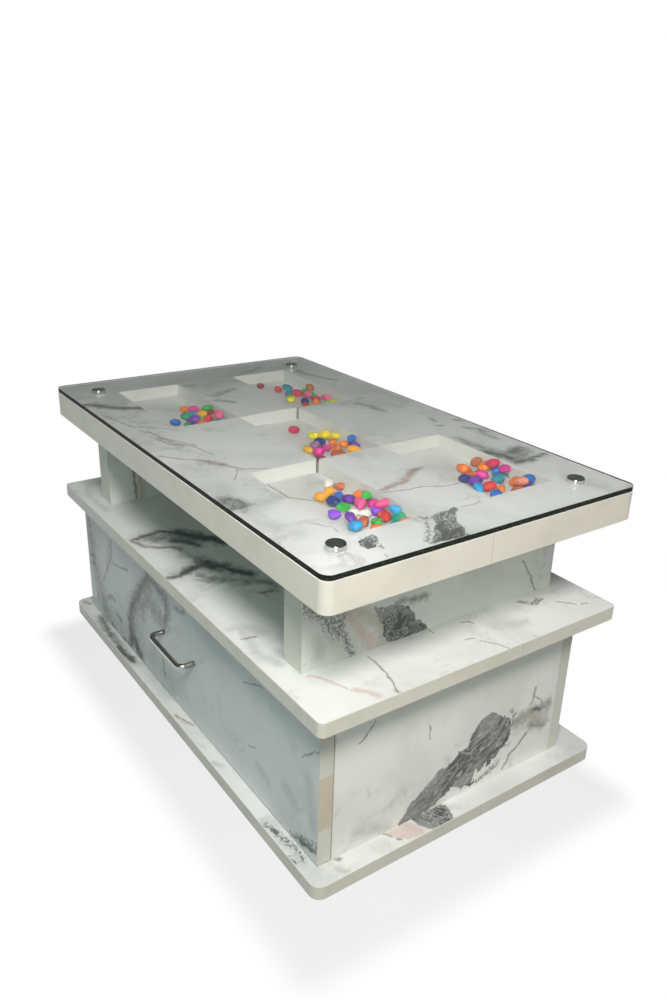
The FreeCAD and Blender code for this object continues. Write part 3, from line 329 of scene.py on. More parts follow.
class Ink(Enum):
    """The inks of the marble print, laid in this order."""

    HAZE = InkLook(display(168, 170, 166), display(202, 203, 199), 22 * MM, 0.9, (0.15, 1.0), 0.42)
    CLOUD = InkLook(display(118, 118, 112), display(178, 177, 170), 11 * MM, 1.6, (0.3, 1.15), 0.78)
    SMOKE = InkLook(display(70, 73, 72), display(148, 150, 148), 9 * MM, 1.2, (0.25, 1.0), 0.88)
    ROSE = InkLook(display(206, 178, 168), display(220, 204, 195), 7 * MM, 1.0, (0.15, 1.0), 0.68)
    TAN = InkLook(display(178, 164, 148), display(206, 198, 184), 7 * MM, 1.1, (0.15, 1.0), 0.6)
    SPECKLE = InkLook(display(92, 94, 91), display(150, 152, 148), 3.6 * MM, 2.2, (0.68, 1.05), 0.8)
    RUST = InkLook(display(150, 122, 106), display(194, 174, 160), 3.2 * MM, 2.0, (0.55, 1.0), 0.75)
    GRANITE = InkLook(display(78, 80, 78), display(194, 196, 192), 7 * MM, 1.3, (0.34, 0.58), 0.96,
                      flecked=(0.46, 0.66), veins=0.85)
    THREAD = InkLook(display(128, 115, 102), display(176, 164, 152), 6 * MM, 0.8, (0.2, 0.95), 0.76)


@dataclass(frozen=True)
class Stroke:
    """One mark of the print, in millimetres on the board's face.

    Attributes:
        ink: the ink it is made with.
        half_width: from the line to where the ink ends, or how soft an area's outline is.
        points: corners of a bent line or, in order round it, of a convex area.
        area: whether the points enclose an area.
    """

    ink: Ink
    half_width: float
    points: Sequence[Pair]
    area: bool = False


def lines(ink: Ink, *marks: tuple[float | Pair, ...]) -> list[Stroke]:
    """Returns lines of one ink; each mark is its half width and then the corners of its line."""
    return [Stroke(ink, half_width, points) for half_width, *points in marks]


def areas(ink: Ink, *marks: tuple[float | Pair, ...]) -> list[Stroke]:
    """Returns areas of one ink; each mark is how soft its outline is and then its corners."""
    return [Stroke(ink, softness, points, True) for softness, *points in marks]


@dataclass(frozen=True)
class MarblePrint:
    """White laminate with a marble print: pale clouds, fine wisps and each board's own strokes of ink.

    Attributes:
        name: material's name.
        face: which way the board faces.
        level: where the face is along the axis across it, in millimetres.
        strokes: the board's own marks.
        shift: how far the noise is moved, in metres, so that boards differ.
        tone: main white of the ground.
        shade: darker white of its clouds.
        wisps: how strong the thin grey wisps are.
        roughness: average roughness.
        wear: from the lowest to the highest roughness.
        flow: direction on the face along which veined ink is drawn out.
        drawn_out: share of the way along the flow that is taken off.
        stirs: sizes of the noise that stirs the strokes, and its reach, in millimetres.
        fade: cover under which an ink fades out.
        clouds: the ground's clouds.
        mottles: its small mottles.
        mottled: patches that the mottles lie in.
        mottle: their colour.
        mottling: how strong they are at most.
        wisp_lines: the wisps.
        wispy: patches that they lie in.
        wisp: their colour.
        crowds: patches that the crystals of a veined ink gather in.
        swirls: the wide swirls of a veined ink.
        swirling: how pale they are.
        vein_lines: the veins of a veined ink.
        smears: noise of the roughness.
        pores: noise of the film's relief.
        pore_depth: depth of that relief, in metres.
    """

    name: str
    face: Face
    level: float
    strokes: Sequence[Stroke]
    shift: Point
    wisps: float
    tone: Colour = display(236, 237, 232)
    shade: Colour = display(214, 216, 211)
    roughness: float = 0.32
    wear: float = 0.08
    flow: Pair | None = None
    drawn_out: float = 0.66
    stirs: Sequence[Pair] = ((46, 12), (11, 7))
    fade: float = 0.12
    clouds: Noise = Noise(160 * MM, 4, 0.55, 0.6, (0.42, 0.72))
    mottles: Noise = Noise(26 * MM, 5, 0.68, limits=(0.54, 0.76))
    mottled: Noise = Noise(120 * MM, 2, limits=(0.4, 0.62))
    mottle: Colour = display(164, 165, 160)
    mottling: float = 0.4
    wisp_lines: Noise = Noise(95 * MM, 5, 0.6, 0.3, (0.035, 0.0))
    wispy: Noise = Noise(70 * MM, 2, limits=(0.45, 0.7))
    wisp: Colour = display(150, 150, 144)
    crowds: Noise = Noise(17 * MM, 3, 0.55, limits=(0.4, 0.6))
    swirls: Noise = Noise(26 * MM, 3, 0.5, 1.2, (0.42, 0.62))
    swirling: float = 0.45
    vein_lines: Noise = Noise(20 * MM, 4, 0.6, 1.5, (0.03, 0.0))
    smears: Noise = Noise(30 * MM, 3)
    pores: Noise = Noise(2.2 * MM, 2)
    pore_depth: float = 0.02 * MM

    def off_stroke(self, paint: Paint, where: Value, stroke: Stroke) -> Value:
        """Returns how far a place is from a line, or how far outside an area.

        A line's distance is the least of its stretches' distances. An area's is the greatest of the distances
        in front of its sides, which is less than zero inside.

        Args:
            paint: material to add to.
            where: stirred place on the board.
            stroke: the line or area.

        Returns:
            The distance, in metres.
        """
        distance = None
        if not stroke.area:
            spots = [self.face.vector(*spot, self.level) for spot in stroke.points]
            for start, end in zip(spots, spots[1:]):
                gap = paint.off_line(where, start, end)
                distance = gap if distance is None else paint.maths("MINIMUM", distance, gap)
            return distance
        corners = np.array(stroke.points, float)
        sides = np.roll(corners, -1, 0) - corners
        outward = np.stack([sides[:, 1], -sides[:, 0]], -1) / np.linalg.norm(sides, axis=1, keepdims=True)
        turned = np.sign(np.sum(corners[:, 0] * sides[:, 1] - corners[:, 1] * sides[:, 0]))
        for normal, corner in zip(outward * turned, corners):
            along = paint.vector("DOT_PRODUCT", where, self.face.vector(*(normal / MM)), output=1)
            gap = along - float(normal @ corner) * MM
            distance = gap if distance is None else paint.maths("MAXIMUM", distance, gap)
        return distance

    def cover(self, paint: Paint, where: Value, ink: Ink) -> Value | None:
        """Returns how well one ink's strokes cover a place.

        Each line covers fully in its middle and falls in a straight slope to nothing at its half width; an
        area covers by half on its outline. Where strokes cross, the stronger counts.

        Args:
            paint: material to add to.
            where: stirred place on the board.
            ink: the ink whose strokes count.

        Returns:
            Cover from 0 to 1, or None where the board has no such ink.
        """
        total = None
        for stroke in self.strokes:
            if stroke.ink is not ink:
                continue
            gap = self.off_stroke(paint, where, stroke)
            full = 0.5 if stroke.area else 1.0
            slope = paint.maths("MULTIPLY_ADD", gap, -1 / (stroke.half_width * MM), full)
            total = slope if total is None else paint.maths("MAXIMUM", total, slope)
        return total and paint.held(total)

    def ground(self, paint: Paint, where: Value) -> Value:
        """Returns the pale ground: clouds between two whites, small grey mottles and thin grey wisps.

        Mottles lie in patches; wisps run where noise is near its middle.

        Args:
            paint: material to add to.
            where: place on the board, shifted so that boards differ.

        Returns:
            The ground's colour.
        """
        ground = paint.mix(paint.patches(self.clouds, where), self.tone, self.shade)
        spots = paint.patches(self.mottles, where) * paint.patches(self.mottled, where)
        ground = paint.mix(spots * self.mottling, ground, self.mottle)
        wisps = paint.veins(self.wisp_lines, where) * paint.patches(self.wispy, where)
        return paint.mix(wisps * self.wisps, ground, self.wisp)

    def body(self, paint: Paint, where: Value, look: InkLook) -> Value:
        """Returns an ink's own colour, with small crystals in it.

        In a veined ink the crystals gather in patches, wide swirls are half as pale as a crystal, and a vein
        runs wherever swirled noise is near its middle. Where the board has a flow, all of these are drawn out
        along it, by taking a share of the way along it off the place that the noise is read at.

        Args:
            paint: material to add to.
            where: place on the board, shifted so that boards differ.
            look: the ink.

        Returns:
            The colour.
        """
        if look.veins and self.flow:
            flow = self.face.vector(*self.flow)
            along = paint.vector("DOT_PRODUCT", where, flow, output=1)
            taken_off = paint.scaled(flow, along * (self.drawn_out / MM**2))
            where = paint.vector("SUBTRACT", where, taken_off)
        flecks = paint.patches(look.crystals(), where)
        if look.veins:
            flecks = flecks * paint.patches(self.crowds, where)
            flecks = paint.maths("MAXIMUM", flecks, paint.patches(self.swirls, where) * self.swirling)
            flecks = paint.maths("MAXIMUM", flecks, paint.veins(self.vein_lines, where) * look.veins)
        return paint.mix(flecks, look.colour, look.fleck)

    def make(self) -> bpy.types.Material:
        """Returns the board's material."""
        paint = Paint(self.name)
        place = paint.place()
        shifted = paint.vector("ADD", place, self.shift)
        colour = self.ground(paint, shifted)
        stirred = place
        for size, reach in self.stirs:
            stirred = paint.stir(stirred, size * MM, self.face.vector(reach, reach))
        for ink in Ink:
            cover = self.cover(paint, stirred, ink)
            if cover is None:
                continue
            look = ink.value
            crystals = paint.noise(look.edge_crystals(), shifted)
            ragged = cover + (crystals - 0.5) * look.ragged
            amount = paint.smooth(ragged, *look.edge) * paint.smooth(cover, 0.0, self.fade) * look.strength
            colour = paint.mix(amount, colour, self.body(paint, shifted, look))
        gloss = paint.noise(self.smears, shifted) * self.wear + (self.roughness - self.wear / 2)
        relief = paint.bump(paint.noise(self.pores, shifted), self.pore_depth)
        return paint.close({"Base Color": colour, "Roughness": gloss, "Normal": relief,
                            "Specular IOR Level": FILM_SHEEN})


@dataclass(frozen=True)
class BandFinish:
    """Cream edge banding: plastic with a faint mottle, dark where two ends of the band meet.

    Attributes:
        name: material's name.
        colour: the band's colour.
        mottle: colour of its faint blotches.
        seams: places along Y, in millimetres, of the joints on the right-hand end.
        patch: lowest and highest Z, in millimetres, of a darker length of band on that end.
        corners: places in plan, in millimetres, of corners where the band stops short, with painted shade
            down the slit.
        seam_from: X, in millimetres, where that end starts for a seam and where it counts in full.
        patch_from: the same for a patch.
        corner_heights: lowest and highest Z, in millimetres, of the corners.
        blotches: noise of the blotches.
        blotching: how strong they are at most.
        patch_fade: lengths over which the patch fades at its foot and at its top, in metres.
        ripples: noise that makes the patch's ends uneven.
        ripple: how uneven they are, in metres.
        stains: noise of the patch's stains.
        stained: the patch's darkest and palest colours.
        seam: colour of the joints.
        seam_edge: half width of a joint, where it fades out and where it is full, in metres.
        seam_strength: how strong a joint is.
        slit_shade: colour of the painted shade down a slit corner.
        slit_shade_edge: half width of that painted shade, in the same way.
        slit_shade_strength: how strong it is.
        smears: noise of the roughness.
        roughness: lowest roughness.
        wear: how much roughness the noise adds.
        dents: noise of the relief.
        dent_depth: depth of the relief, in metres.
    """

    name: str
    colour: Colour = display(236, 230, 215)
    mottle: Colour = display(222, 217, 201)
    seams: Sequence[float] = ()
    patch: Pair | None = None
    corners: Sequence[Pair] = ()
    seam_from: Pair = (370, 380)
    patch_from: Pair = (352.5, 352.9)
    corner_heights: Pair = (380, 400)
    blotches: Noise = Noise(60 * MM, 4, 0.6, limits=(0.4, 0.7))
    blotching: float = 0.6
    patch_fade: Pair = (3 * MM, 2 * MM)
    ripples: Noise = Noise(12 * MM, 3)
    ripple: float = 6 * MM
    stains: Noise = Noise(9 * MM, 4, 0.7)
    stained: tuple[Colour, Colour] = (display(204, 188, 164), display(222, 210, 190))
    seam: Colour = display(120, 116, 100)
    seam_edge: Pair = (0.7 * MM, 0.25 * MM)
    seam_strength: float = 0.35
    slit_shade: Colour = display(84, 76, 62)
    slit_shade_edge: Pair = (3.4 * MM, 1.6 * MM)
    slit_shade_strength: float = 0.8
    smears: Noise = Noise(25 * MM, 3)
    roughness: float = 0.3
    wear: float = 0.1
    dents: Noise = Noise(5 * MM, 3)
    dent_depth: float = 0.04 * MM

    def make(self) -> bpy.types.Material:
        """Returns the band's material."""
        paint = Paint(self.name)
        place = paint.place()
        along, across, height = paint.axes(place)
        colour = paint.mix(paint.patches(self.blotches, place) * self.blotching, self.colour, self.mottle)
        if self.patch:
            low, high = (limit * MM for limit in self.patch)
            height = height + paint.noise(self.ripples, place) * self.ripple
            foot, top = self.patch_fade
            inside = paint.smooth(height, low, low + foot) * paint.smooth(height, high, high - top)
            darker = paint.mix(paint.noise(self.stains, place), *self.stained)
            at_end = paint.smooth(along, *(limit * MM for limit in self.patch_from))
            colour = paint.mix(inside * at_end, colour, darker)
        for seam in self.seams:
            line = paint.smooth(abs(across - seam * MM), *self.seam_edge)
            at_end = paint.smooth(along, *(limit * MM for limit in self.seam_from))
            colour = paint.mix(line * at_end * self.seam_strength, colour, self.seam)
        for x, y in self.corners:
            foot, top = ((x * MM, y * MM, z * MM) for z in self.corner_heights)
            # painted shade down the slit where the band stops short at a tray corner
            slit_shade = paint.smooth(paint.off_line(place, foot, top), *self.slit_shade_edge)
            colour = paint.mix(slit_shade * self.slit_shade_strength, colour, self.slit_shade)
        gloss = paint.noise(self.smears, place) * self.wear + self.roughness
        relief = paint.bump(paint.noise(self.dents, place), self.dent_depth)
        return paint.close({"Base Color": colour, "Roughness": gloss, "Normal": relief,
                            "Specular IOR Level": FILM_SHEEN})


@dataclass(frozen=True)
class GlassFinish:
    """Clear float glass: nearly colourless through its faces, dark green through its edge.

    Attributes:
        name: material's name.
        face_tint: colour through the faces.
        edge_tint: colour of the edge.
        edge_fleck: colour of the pale flecks on it.
        flecks: noise of those flecks.
        edge_roughness: roughness of the edge.
        edge_sheen: how much the edge reflects.
        index: how strongly the faces bend light.
        level: size of a normal's Z at which the edge ends and at which a face is full.
        let_through: share of the lamps' light that reaches what lies under the glass.
    """

    name: str = "float_glass"
    face_tint: Colour = display(253, 254, 253)
    edge_tint: Colour = display(34, 38, 31)
    edge_fleck: Colour = display(74, 78, 70)
    flecks: Noise = Noise(3 * MM, 4, 0.7, limits=(0.48, 0.7))
    edge_roughness: float = 0.5
    edge_sheen: float = 0.04
    index: float = 1.5
    level: Pair = (0.4, 0.8)
    let_through: Colour = (0.62, 0.63, 0.63, 1.0)

    def make(self) -> bpy.types.Material:
        """Returns the glass, which lets light from the lamps through without bending it."""
        paint = Paint(self.name)
        normal = paint.node("ShaderNodeNewGeometry", output="True Normal")
        upright = abs(paint.axes(normal)[2])
        flecked = paint.mix(paint.patches(self.flecks, paint.place()), self.edge_tint, self.edge_fleck)
        edge = paint.node("ShaderNodeBsdfPrincipled", sockets={
            "Base Color": flecked, "Roughness": self.edge_roughness, "Specular IOR Level": self.edge_sheen})
        sheet = paint.node("ShaderNodeBsdfPrincipled", sockets={
            "Base Color": self.face_tint, "Roughness": 0.0, "IOR": self.index, "Transmission Weight": 1.0})
        on_face = paint.smooth(upright, *self.level)
        solid = paint.node("ShaderNodeMixShader", sockets={0: on_face, 1: edge, 2: sheet})
        clear = paint.node("ShaderNodeBsdfTransparent", sockets={"Color": self.let_through})
        shadow = paint.node("ShaderNodeLightPath", output="Is Shadow Ray")
        return paint.show(paint.node("ShaderNodeMixShader", sockets={0: shadow, 1: solid, 2: clear}))


@dataclass(frozen=True)
class MetalFinish:
    """Bare or plated metal with fine wear.

    Attributes:
        name: material's name.
        colour: colour of its reflections.
        dull: colour where it is worn or stained.
        roughness: lowest roughness.
        wear: how much roughness the wear adds.
        grain: size of the wear, in metres along X, Y and Z.
        scuffs: noise of the wear, with the grain as its unit.
        scuff_depth: depth of the wear, in metres.
    """

    name: str
    colour: Colour
    dull: Colour
    roughness: float
    wear: float
    grain: Point
    scuffs: Noise = Noise(1.0, 5, 0.65, limits=(0.48, 0.72))
    scuff_depth: float = 0.01 * MM

    def make(self) -> bpy.types.Material:
        """Returns the metal."""
        paint = Paint(self.name)
        place = paint.vector("DIVIDE", paint.place(), self.grain)
        scuffs = paint.noise(self.scuffs, place)
        colour = paint.mix(paint.smooth(scuffs, *self.scuffs.limits), self.colour, self.dull)
        relief = paint.bump(scuffs, self.scuff_depth)
        return paint.close({"Base Color": colour, "Metallic": 1.0,
                            "Roughness": scuffs * self.wear + self.roughness, "Normal": relief})


@dataclass(frozen=True)
class PlainFinish:
    """A dull board, plastic or raw wood with streaks that run along one direction.

    Attributes:
        name: material's name.
        colour: main colour.
        streak: colour of the streaks.
        grain: size of the streaks, in metres along X, Y and Z.
        roughness: average roughness.
        wear: from the lowest to the highest roughness.
        streaks: noise of the streaks, with the grain as its unit.
        streak_depth: depth of the streaks, in metres.
    """

    name: str
    colour: Colour
    streak: Colour
    grain: Point
    roughness: float
    wear: float = 0.12
    streaks: Noise = Noise(1.0, 4, 0.6, 0.3, (0.35, 0.7))
    streak_depth: float = 0.05 * MM

    def make(self) -> bpy.types.Material:
        """Returns the material."""
        paint = Paint(self.name)
        place = paint.vector("DIVIDE", paint.place(), self.grain)
        streaks = paint.noise(self.streaks, place)
        colour = paint.mix(paint.smooth(streaks, *self.streaks.limits), self.colour, self.streak)
        gloss = streaks * self.wear + (self.roughness - self.wear / 2)
        relief = paint.bump(streaks, self.streak_depth)
        return paint.close({"Base Color": colour, "Roughness": gloss, "Normal": relief})


@dataclass(frozen=True)
class PebbleFinish:
    """Dyed and lacquered stone: the dye pools in patches, pale chips show through, and the lacquer shines.

    Attributes:
        name: material's name.
        pools: noise of the patches where the dye pools.
        pooling: how much it darkens there at most.
        deepest: what the dye is multiplied by where it pools.
        chips: noise of the chips.
        chipping: how strong they are.
        chip: their colour.
        pits: noise of the relief.
        pit_depth: depth of the relief, in metres.
        roughness: lowest roughness.
        wear: how much roughness the pools add.
        lacquer: how much lacquer there is.
        lacquer_roughness: its roughness.
    """

    name: str = "dyed_pebbles"
    pools: Noise = Noise(7 * MM, 4, 0.6, limits=(0.45, 0.75))
    pooling: float = 0.6
    deepest: Colour = display(150, 140, 150)
    chips: Noise = Noise(2.4 * MM, 3, 0.7, limits=(0.66, 0.74))
    chipping: float = 0.35
    chip: Colour = display(232, 226, 220)
    pits: Noise = Noise(4 * MM, 3, 0.6)
    pit_depth: float = 0.4 * MM
    roughness: float = 0.16
    wear: float = 0.2
    lacquer: float = 0.7
    lacquer_roughness: float = 0.06

    def make(self) -> bpy.types.Material:
        """Returns the material, which reads each stone's brightened dye from an attribute of the mesh."""
        paint = Paint(self.name)
        place = paint.place()
        dye = paint.node("ShaderNodeAttribute", {"attribute_name": BRIGHTENED_DYE_LAYER}, output="Color")
        pools = paint.noise(self.pools, place)
        pooled = paint.smooth(pools, *self.pools.limits) * self.pooling
        deep = paint.node("ShaderNodeMix", {"data_type": "RGBA", "blend_type": "MULTIPLY"},
                          {0: pooled, 6: dye, 7: self.deepest}, 2)
        colour = paint.mix(paint.patches(self.chips, place) * self.chipping, deep, self.chip)
        relief = paint.bump(paint.noise(self.pits, place), self.pit_depth)
        return paint.close({"Base Color": colour, "Roughness": pools * self.wear + self.roughness,
                            "Normal": relief, "Coat Weight": self.lacquer,
                            "Coat Roughness": self.lacquer_roughness})


class Dye(Enum):
    """The pebbles' dyes."""

    ORANGE = display(236, 120, 44)
    AMBER = display(240, 166, 44)
    YELLOW = display(238, 214, 34)
    LIME = display(128, 206, 60)
    GREEN = display(52, 168, 66)
    SEA = display(34, 156, 112)
    TEAL = display(34, 140, 158)
    SKY = display(52, 160, 214)
    BLUE = display(32, 104, 190)
    NAVY = display(34, 50, 116)
    PURPLE = display(104, 52, 156)
    VIOLET = display(130, 70, 196)
    MAUVE = display(154, 108, 150)
    MAGENTA = display(216, 52, 150)
    PINK = display(240, 84, 140)
    CRIMSON = display(204, 40, 82)
    RED = display(208, 56, 52)
    MAROON = display(142, 48, 62)
    COPPER = display(190, 100, 62)
    SALMON = display(246, 150, 118)
    WHITE = display(228, 224, 216)


@dataclass
class Shells:
    """Closed surfaces of one kind: rings of points between two poles.

    Attributes:
        rings: points as (shell, ring, place on the ring, 3).
        poles: the first and last point of each shell, as (shell, 2, 3).
    """

    rings: np.ndarray
    poles: np.ndarray

    def faces(self) -> list[list[int]]:
        """Returns the corner numbers of all faces.

        Each ring joins the next by four-sided faces, whose last place meets the first again, and the outer
        rings join their pole by triangles. A shell's points are its rings and then its poles.
        """
        shells, rows, columns = self.rings.shape[:3]
        first = (np.arange(shells) * (rows * columns + 2))[:, None]
        here = np.arange(columns)
        after = np.roll(here, -1)
        step = (np.arange(rows - 1) * columns)[:, None]
        quads = np.stack([step + here, step + after, step + columns + after, step + columns + here], -1)
        quads = (first[:, :, None] + quads.reshape(1, -1, 4)).reshape(-1, 4)
        last = (rows - 1) * columns
        start = np.stack([np.full(columns, rows * columns), after, here], -1)
        end = np.stack([np.full(columns, rows * columns + 1), last + here, last + after], -1)
        fans = (first[:, :, None] + np.concatenate([start, end])[None]).reshape(-1, 3)
        return quads.tolist() + fans.tolist()

    def points(self) -> np.ndarray:
        """Returns all points, shell by shell."""
        shells = len(self.rings)
        return np.concatenate([self.rings.reshape(shells, -1, 3), self.poles], 1).reshape(-1, 3)

    def build(self, name: str, material: bpy.types.Material,
              colours: np.ndarray | None = None) -> bpy.types.Object:
        """Makes the shells one smooth object at the origin.

        Args:
            name: the object's name.
            material: its material.
            colours: one colour for each shell, kept as the layer of brightened dye.

        Returns:
            The object.
        """
        mesh = bpy.data.meshes.new(name)
        mesh.from_pydata(self.points().tolist(), [], self.faces())
        mesh.shade_smooth()
        if colours is not None:
            each = self.rings.shape[1] * self.rings.shape[2] + 2
            dye = mesh.attributes.new(BRIGHTENED_DYE_LAYER, "FLOAT_COLOR", "POINT")
            dye.data.foreach_set("color", np.repeat(colours, each, 0).astype(np.float32).ravel())
        mesh.materials.append(material)
        made = bpy.data.objects.new(name, mesh)
        bpy.context.scene.collection.objects.link(made)
        return made


def dress(material: bpy.types.Material, *nodes: str) -> None:
    """Gives CAD nodes a material.

    Args:
        material: the finish.
        nodes: names of the nodes.
    """
    for name in nodes:
        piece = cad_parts[name]
        if not piece.material_slots:
            piece.data.materials.append(material)
        for held in piece.material_slots:
            held.material = material
        LOG.info("dressed %s in %s", name, material.name)


@dataclass
class PrintedBoards:
    """The marble-print boards, where their faces are and what is printed on each; lengths in millimetres."""

    shelf_top: float = 239
    deck_top: float = 398
    tray_floor: float = 380
    base_top: float = 18
    end_face: float = 353
    front_face: float = -208.5
    upright_face: float = 295.5
    inner_face: float = -259.5
    back_face: float = 186.5

    def right_end(self) -> MarblePrint:
        """Returns the right end panel's print: a granite tongue, with a brown cloud and a vein behind it, on
        a lighter ground that paints light on the lit end.
        """
        return MarblePrint("marble_right_end", Face.END, self.end_face, (
            *lines(Ink.HAZE, (22, (-150, 40), (-110, 24)), (30, (100, 90), (150, 80))),
            *lines(Ink.CLOUD, (24, (102, 97), (136, 97), (155, 96)), (16, (127, 76), (155, 68))),
            *lines(Ink.SMOKE, (8, (85, 84), (82, 72)), (9, (130, 100), (141, 94))),
            *lines(Ink.TAN, (15, (104, 94), (118, 98), (150, 70))),
            *lines(Ink.SPECKLE, (15, (10, 29), (39, 26), (70, 39)), (10, (84, 117), (94, 109), (93, 92)),
                   (8, (77, 63), (90, 62))),
            *areas(Ink.GRANITE, (8, (-94, 16), (-62, 52), (-30, 75), (-8, 76), (2, 40), (-50, 16)),
                   (8, (-12, 74), (1, 86), (15, 89), (34, 52), (25, 24), (-12, 37)),
                   (8, (12, 86), (18, 100), (30, 120), (50, 129), (66, 116), (74, 62), (36, 40)),
                   (8, (60, 118), (86, 105), (91, 92), (88, 72), (74, 60), (52, 40), (46, 90))),
            *lines(Ink.THREAD, (5, (120, 68), (109, 56), (94, 47), (82, 26)),
                   (4.5, (127, 135), (126, 122), (121, 111)), (2.6, (128, 120), (142, 108)),
                   (2.6, (-136, 190), (-143, 178), (-156, 168)), (1.8, (-54, 148), (-50, 128))),
        # the lighter tone and shade of this ground are painted light on the lit end panel
        ), shift=(0.0, 0.0, 0.0), tone=display(247, 247, 240), shade=display(232, 233, 226), wisps=0.2,
            flow=(0.83, 0.56))

    def shelf(self) -> MarblePrint:
        """Returns the shelf's print: two dark lens shapes under the top, coloured threads at the right."""
        return MarblePrint("marble_shelf", Face.UP, self.shelf_top, (
            *lines(Ink.HAZE, (44, (-115, -205), (-100, -180), (-70, -150)),
                   (18, (171, -218), (178, -200), (198, -189)),
                   (13, (176, -208), (206, -208), (237, -214), (265, -206)), (9, (238, -192), (250, -194)),
                   (20, (336, 60), (346, 96)), (12, (-350, -200), (-300, -214), (-240, -210)),
                   (30, (-360, -190), (-330, -60))),
            *lines(Ink.CLOUD, (40, (-112, -192), (-92, -168), (-76, -142)),
                   (34, (-104, -148), (-70, -124), (-40, -100)),
                   (26, (-60, -176), (-35, -172), (-14, -164), (4, -164)),
                   (30, (12, -206), (4, -176), (22, -152), (56, -130)),
                   (24, (32, -186), (55, -168), (73, -146), (87, -124), (107, -118)),
                   (12, (114, -140), (117, -119))),
            *lines(Ink.SMOKE, (11, (-121, -214), (-124, -190), (-126, -172), (-114, -156)),
                   (25, (-112, -154), (-96, -144), (-78, -131), (-46, -108)),
                   (13, (-84, -170), (-74, -156), (-52, -148)), (11, (13, -228), (18, -210), (11, -195)),
                   (19, (11, -195), (4, -174), (1, -160)), (28, (-2, -166), (11, -160), (22, -150)),
                   (14, (21, -150), (41, -140), (60, -128))),
            *lines(Ink.ROSE, (4.5, (300, -191), (313, -182), (333, -173), (345, -169)),
                   (9, (351, -164), (358, -157), (372, -150)), (5, (374, -129), (384, -123))),
            *lines(Ink.SPECKLE, (12, (306, 132), (318, 144), (316, 156))),
            *lines(Ink.THREAD, (7, (-118, -222), (-89, -211), (-75, -197), (-67, -180), (-55, -175)),
                   (3, (198, -216), (201, -208), (203, -198)),
                   (2.8, (304, -113), (316, -112), (337, -114), (356, -120), (377, -128)),
                   (2.6, (303, 31), (307, 37), (314, 40)), (2.2, (337, 6), (340, 18)),
                   (2.2, (297, -19), (308, -17)), (2.2, (346, 20), (362, 30), (381, 36)),
                   (3, (304, 126), (324, 140), (318, 160)), (2.6, (332, 171), (349, 186)),
                   (2.6, (351, 194), (355, 201))),
        ), shift=(0.3, 0.1, 0.0), wisps=0.25)

    def deck(self) -> MarblePrint:
        """Returns the deck's print: a granite wedge at the right, smudges at the back, threads in front, a
        haze at the left partly of painted shade.
        """
        return MarblePrint("marble_deck", Face.UP, self.deck_top, (
            # the widest haze, along the left end, is partly print and partly painted shade where the lamp's
            # light falls off
            *lines(Ink.HAZE, (36, (-319, -209), (-288, -184), (-257, -159)), (24, (121, -203), (178, -211)),
                   (28, (188, -175), (218, -218), (277, -195)), (130, (-330, -150), (-320, 150)),
                   (26, (317, 187), (357, 195)), (40, (-127, 71), (-48, 190))),
            *lines(Ink.CLOUD, (34, (-262, -206), (-226, -180), (-208, -156)), (12, (-70, -190), (-30, -176)),
                   (40, (195, 164), (236, 176), (214, 204)), (13, (131, 164), (159, 162), (182, 167)),
                   (9, (39, 195), (57, 189)), (18, (-77, 144), (-54, 150), (-27, 154)),
                   (16, (103, 208), (119, 222), (136, 212), (158, 211)), (18, (-330, 91), (-346, 129)),
                   (22, (-223, -34), (-241, 11)), (14, (-292, -50), (-290, -35)),
                   (14, (-197, -38), (-175, -19)), (14, (-308, 172), (-257, 174)),
                   (14, (-248, 178), (-212, 195))),
            *lines(Ink.SMOKE, (15, (-269, -219), (-240, -196), (-226, -180), (-212, -158)),
                   (34, (168, -216), (186, -210)), (19, (195, 160), (222, 166), (242, 167), (244, 192)),
                   (22, (214, 186), (203, 209)), (12, (239, 200), (238, 223)), (8, (61, 219), (77, 230)),
                   (5, (72, 180), (77, 186))),
            *lines(Ink.ROSE, (5, (72, -162), (92, -154))),
            *lines(Ink.TAN,
                   (8, (229, -44), (224, -27), (226, -17), (221, -1), (210, 2), (203, 18), (191, 52)),
                   (9, (43, -176), (60, -166))),
            *lines(Ink.SPECKLE, (12, (313, -58), (321, -43)), (10, (328, -62), (350, -78), (365, -90)),
                   (8, (341, -138), (352, -139)), (5, (367, -145), (371, -145)),
                   (26, (160, -216), (192, -208))),
            *lines(Ink.RUST, (17, (229, -44), (224, -27), (221, -1), (203, 18), (196, 35)),
                   (19, (40, -178), (62, -165))),
            *areas(Ink.GRANITE, (7, (314, -37), (314, -3), (336, -25), (347, -65)),
                   (7, (336, -25), (377, -46), (376, -54), (373, -94), (347, -65)),
                   (6, (328, -150), (324, -135), (323, -128), (332, -129), (348, -144), (346, -153),
                    (337, -154)), (6, (166, -219), (190, -215), (186, -205), (168, -209))),
            *lines(Ink.THREAD, (2.8, (236, -48), (245, -18), (247, 7), (257, 29), (258, 49)),
                   (2, (317, 0), (314, 32)), (3.2, (-201, -154), (-173, -141)),
                   (3.2, (-206, -218), (-167, -209), (-131, -200), (-111, -172), (-96, -157)),
                   (3.2, (-105, -190), (-70, -190), (-44, -171), (-19, -163)),
                   (2.8, (-84, -199), (-34, -186), (-35, -173), (24, -156)),
                   (3.2, (-6, -221), (20, -196), (34, -178), (48, -173)),
                   (4, (60, -166), (74, -160), (84, -155), (98, -124)),
                   (2.2, (86, -159), (102, -169), (114, -177)), (2.4, (269, -167), (286, -153), (297, -155))),
        ), shift=(0.0, 0.45, 0.2), tone=display(228, 229, 225), shade=display(208, 210, 206), wisps=0.45,
            flow=(-0.7, 0.72))

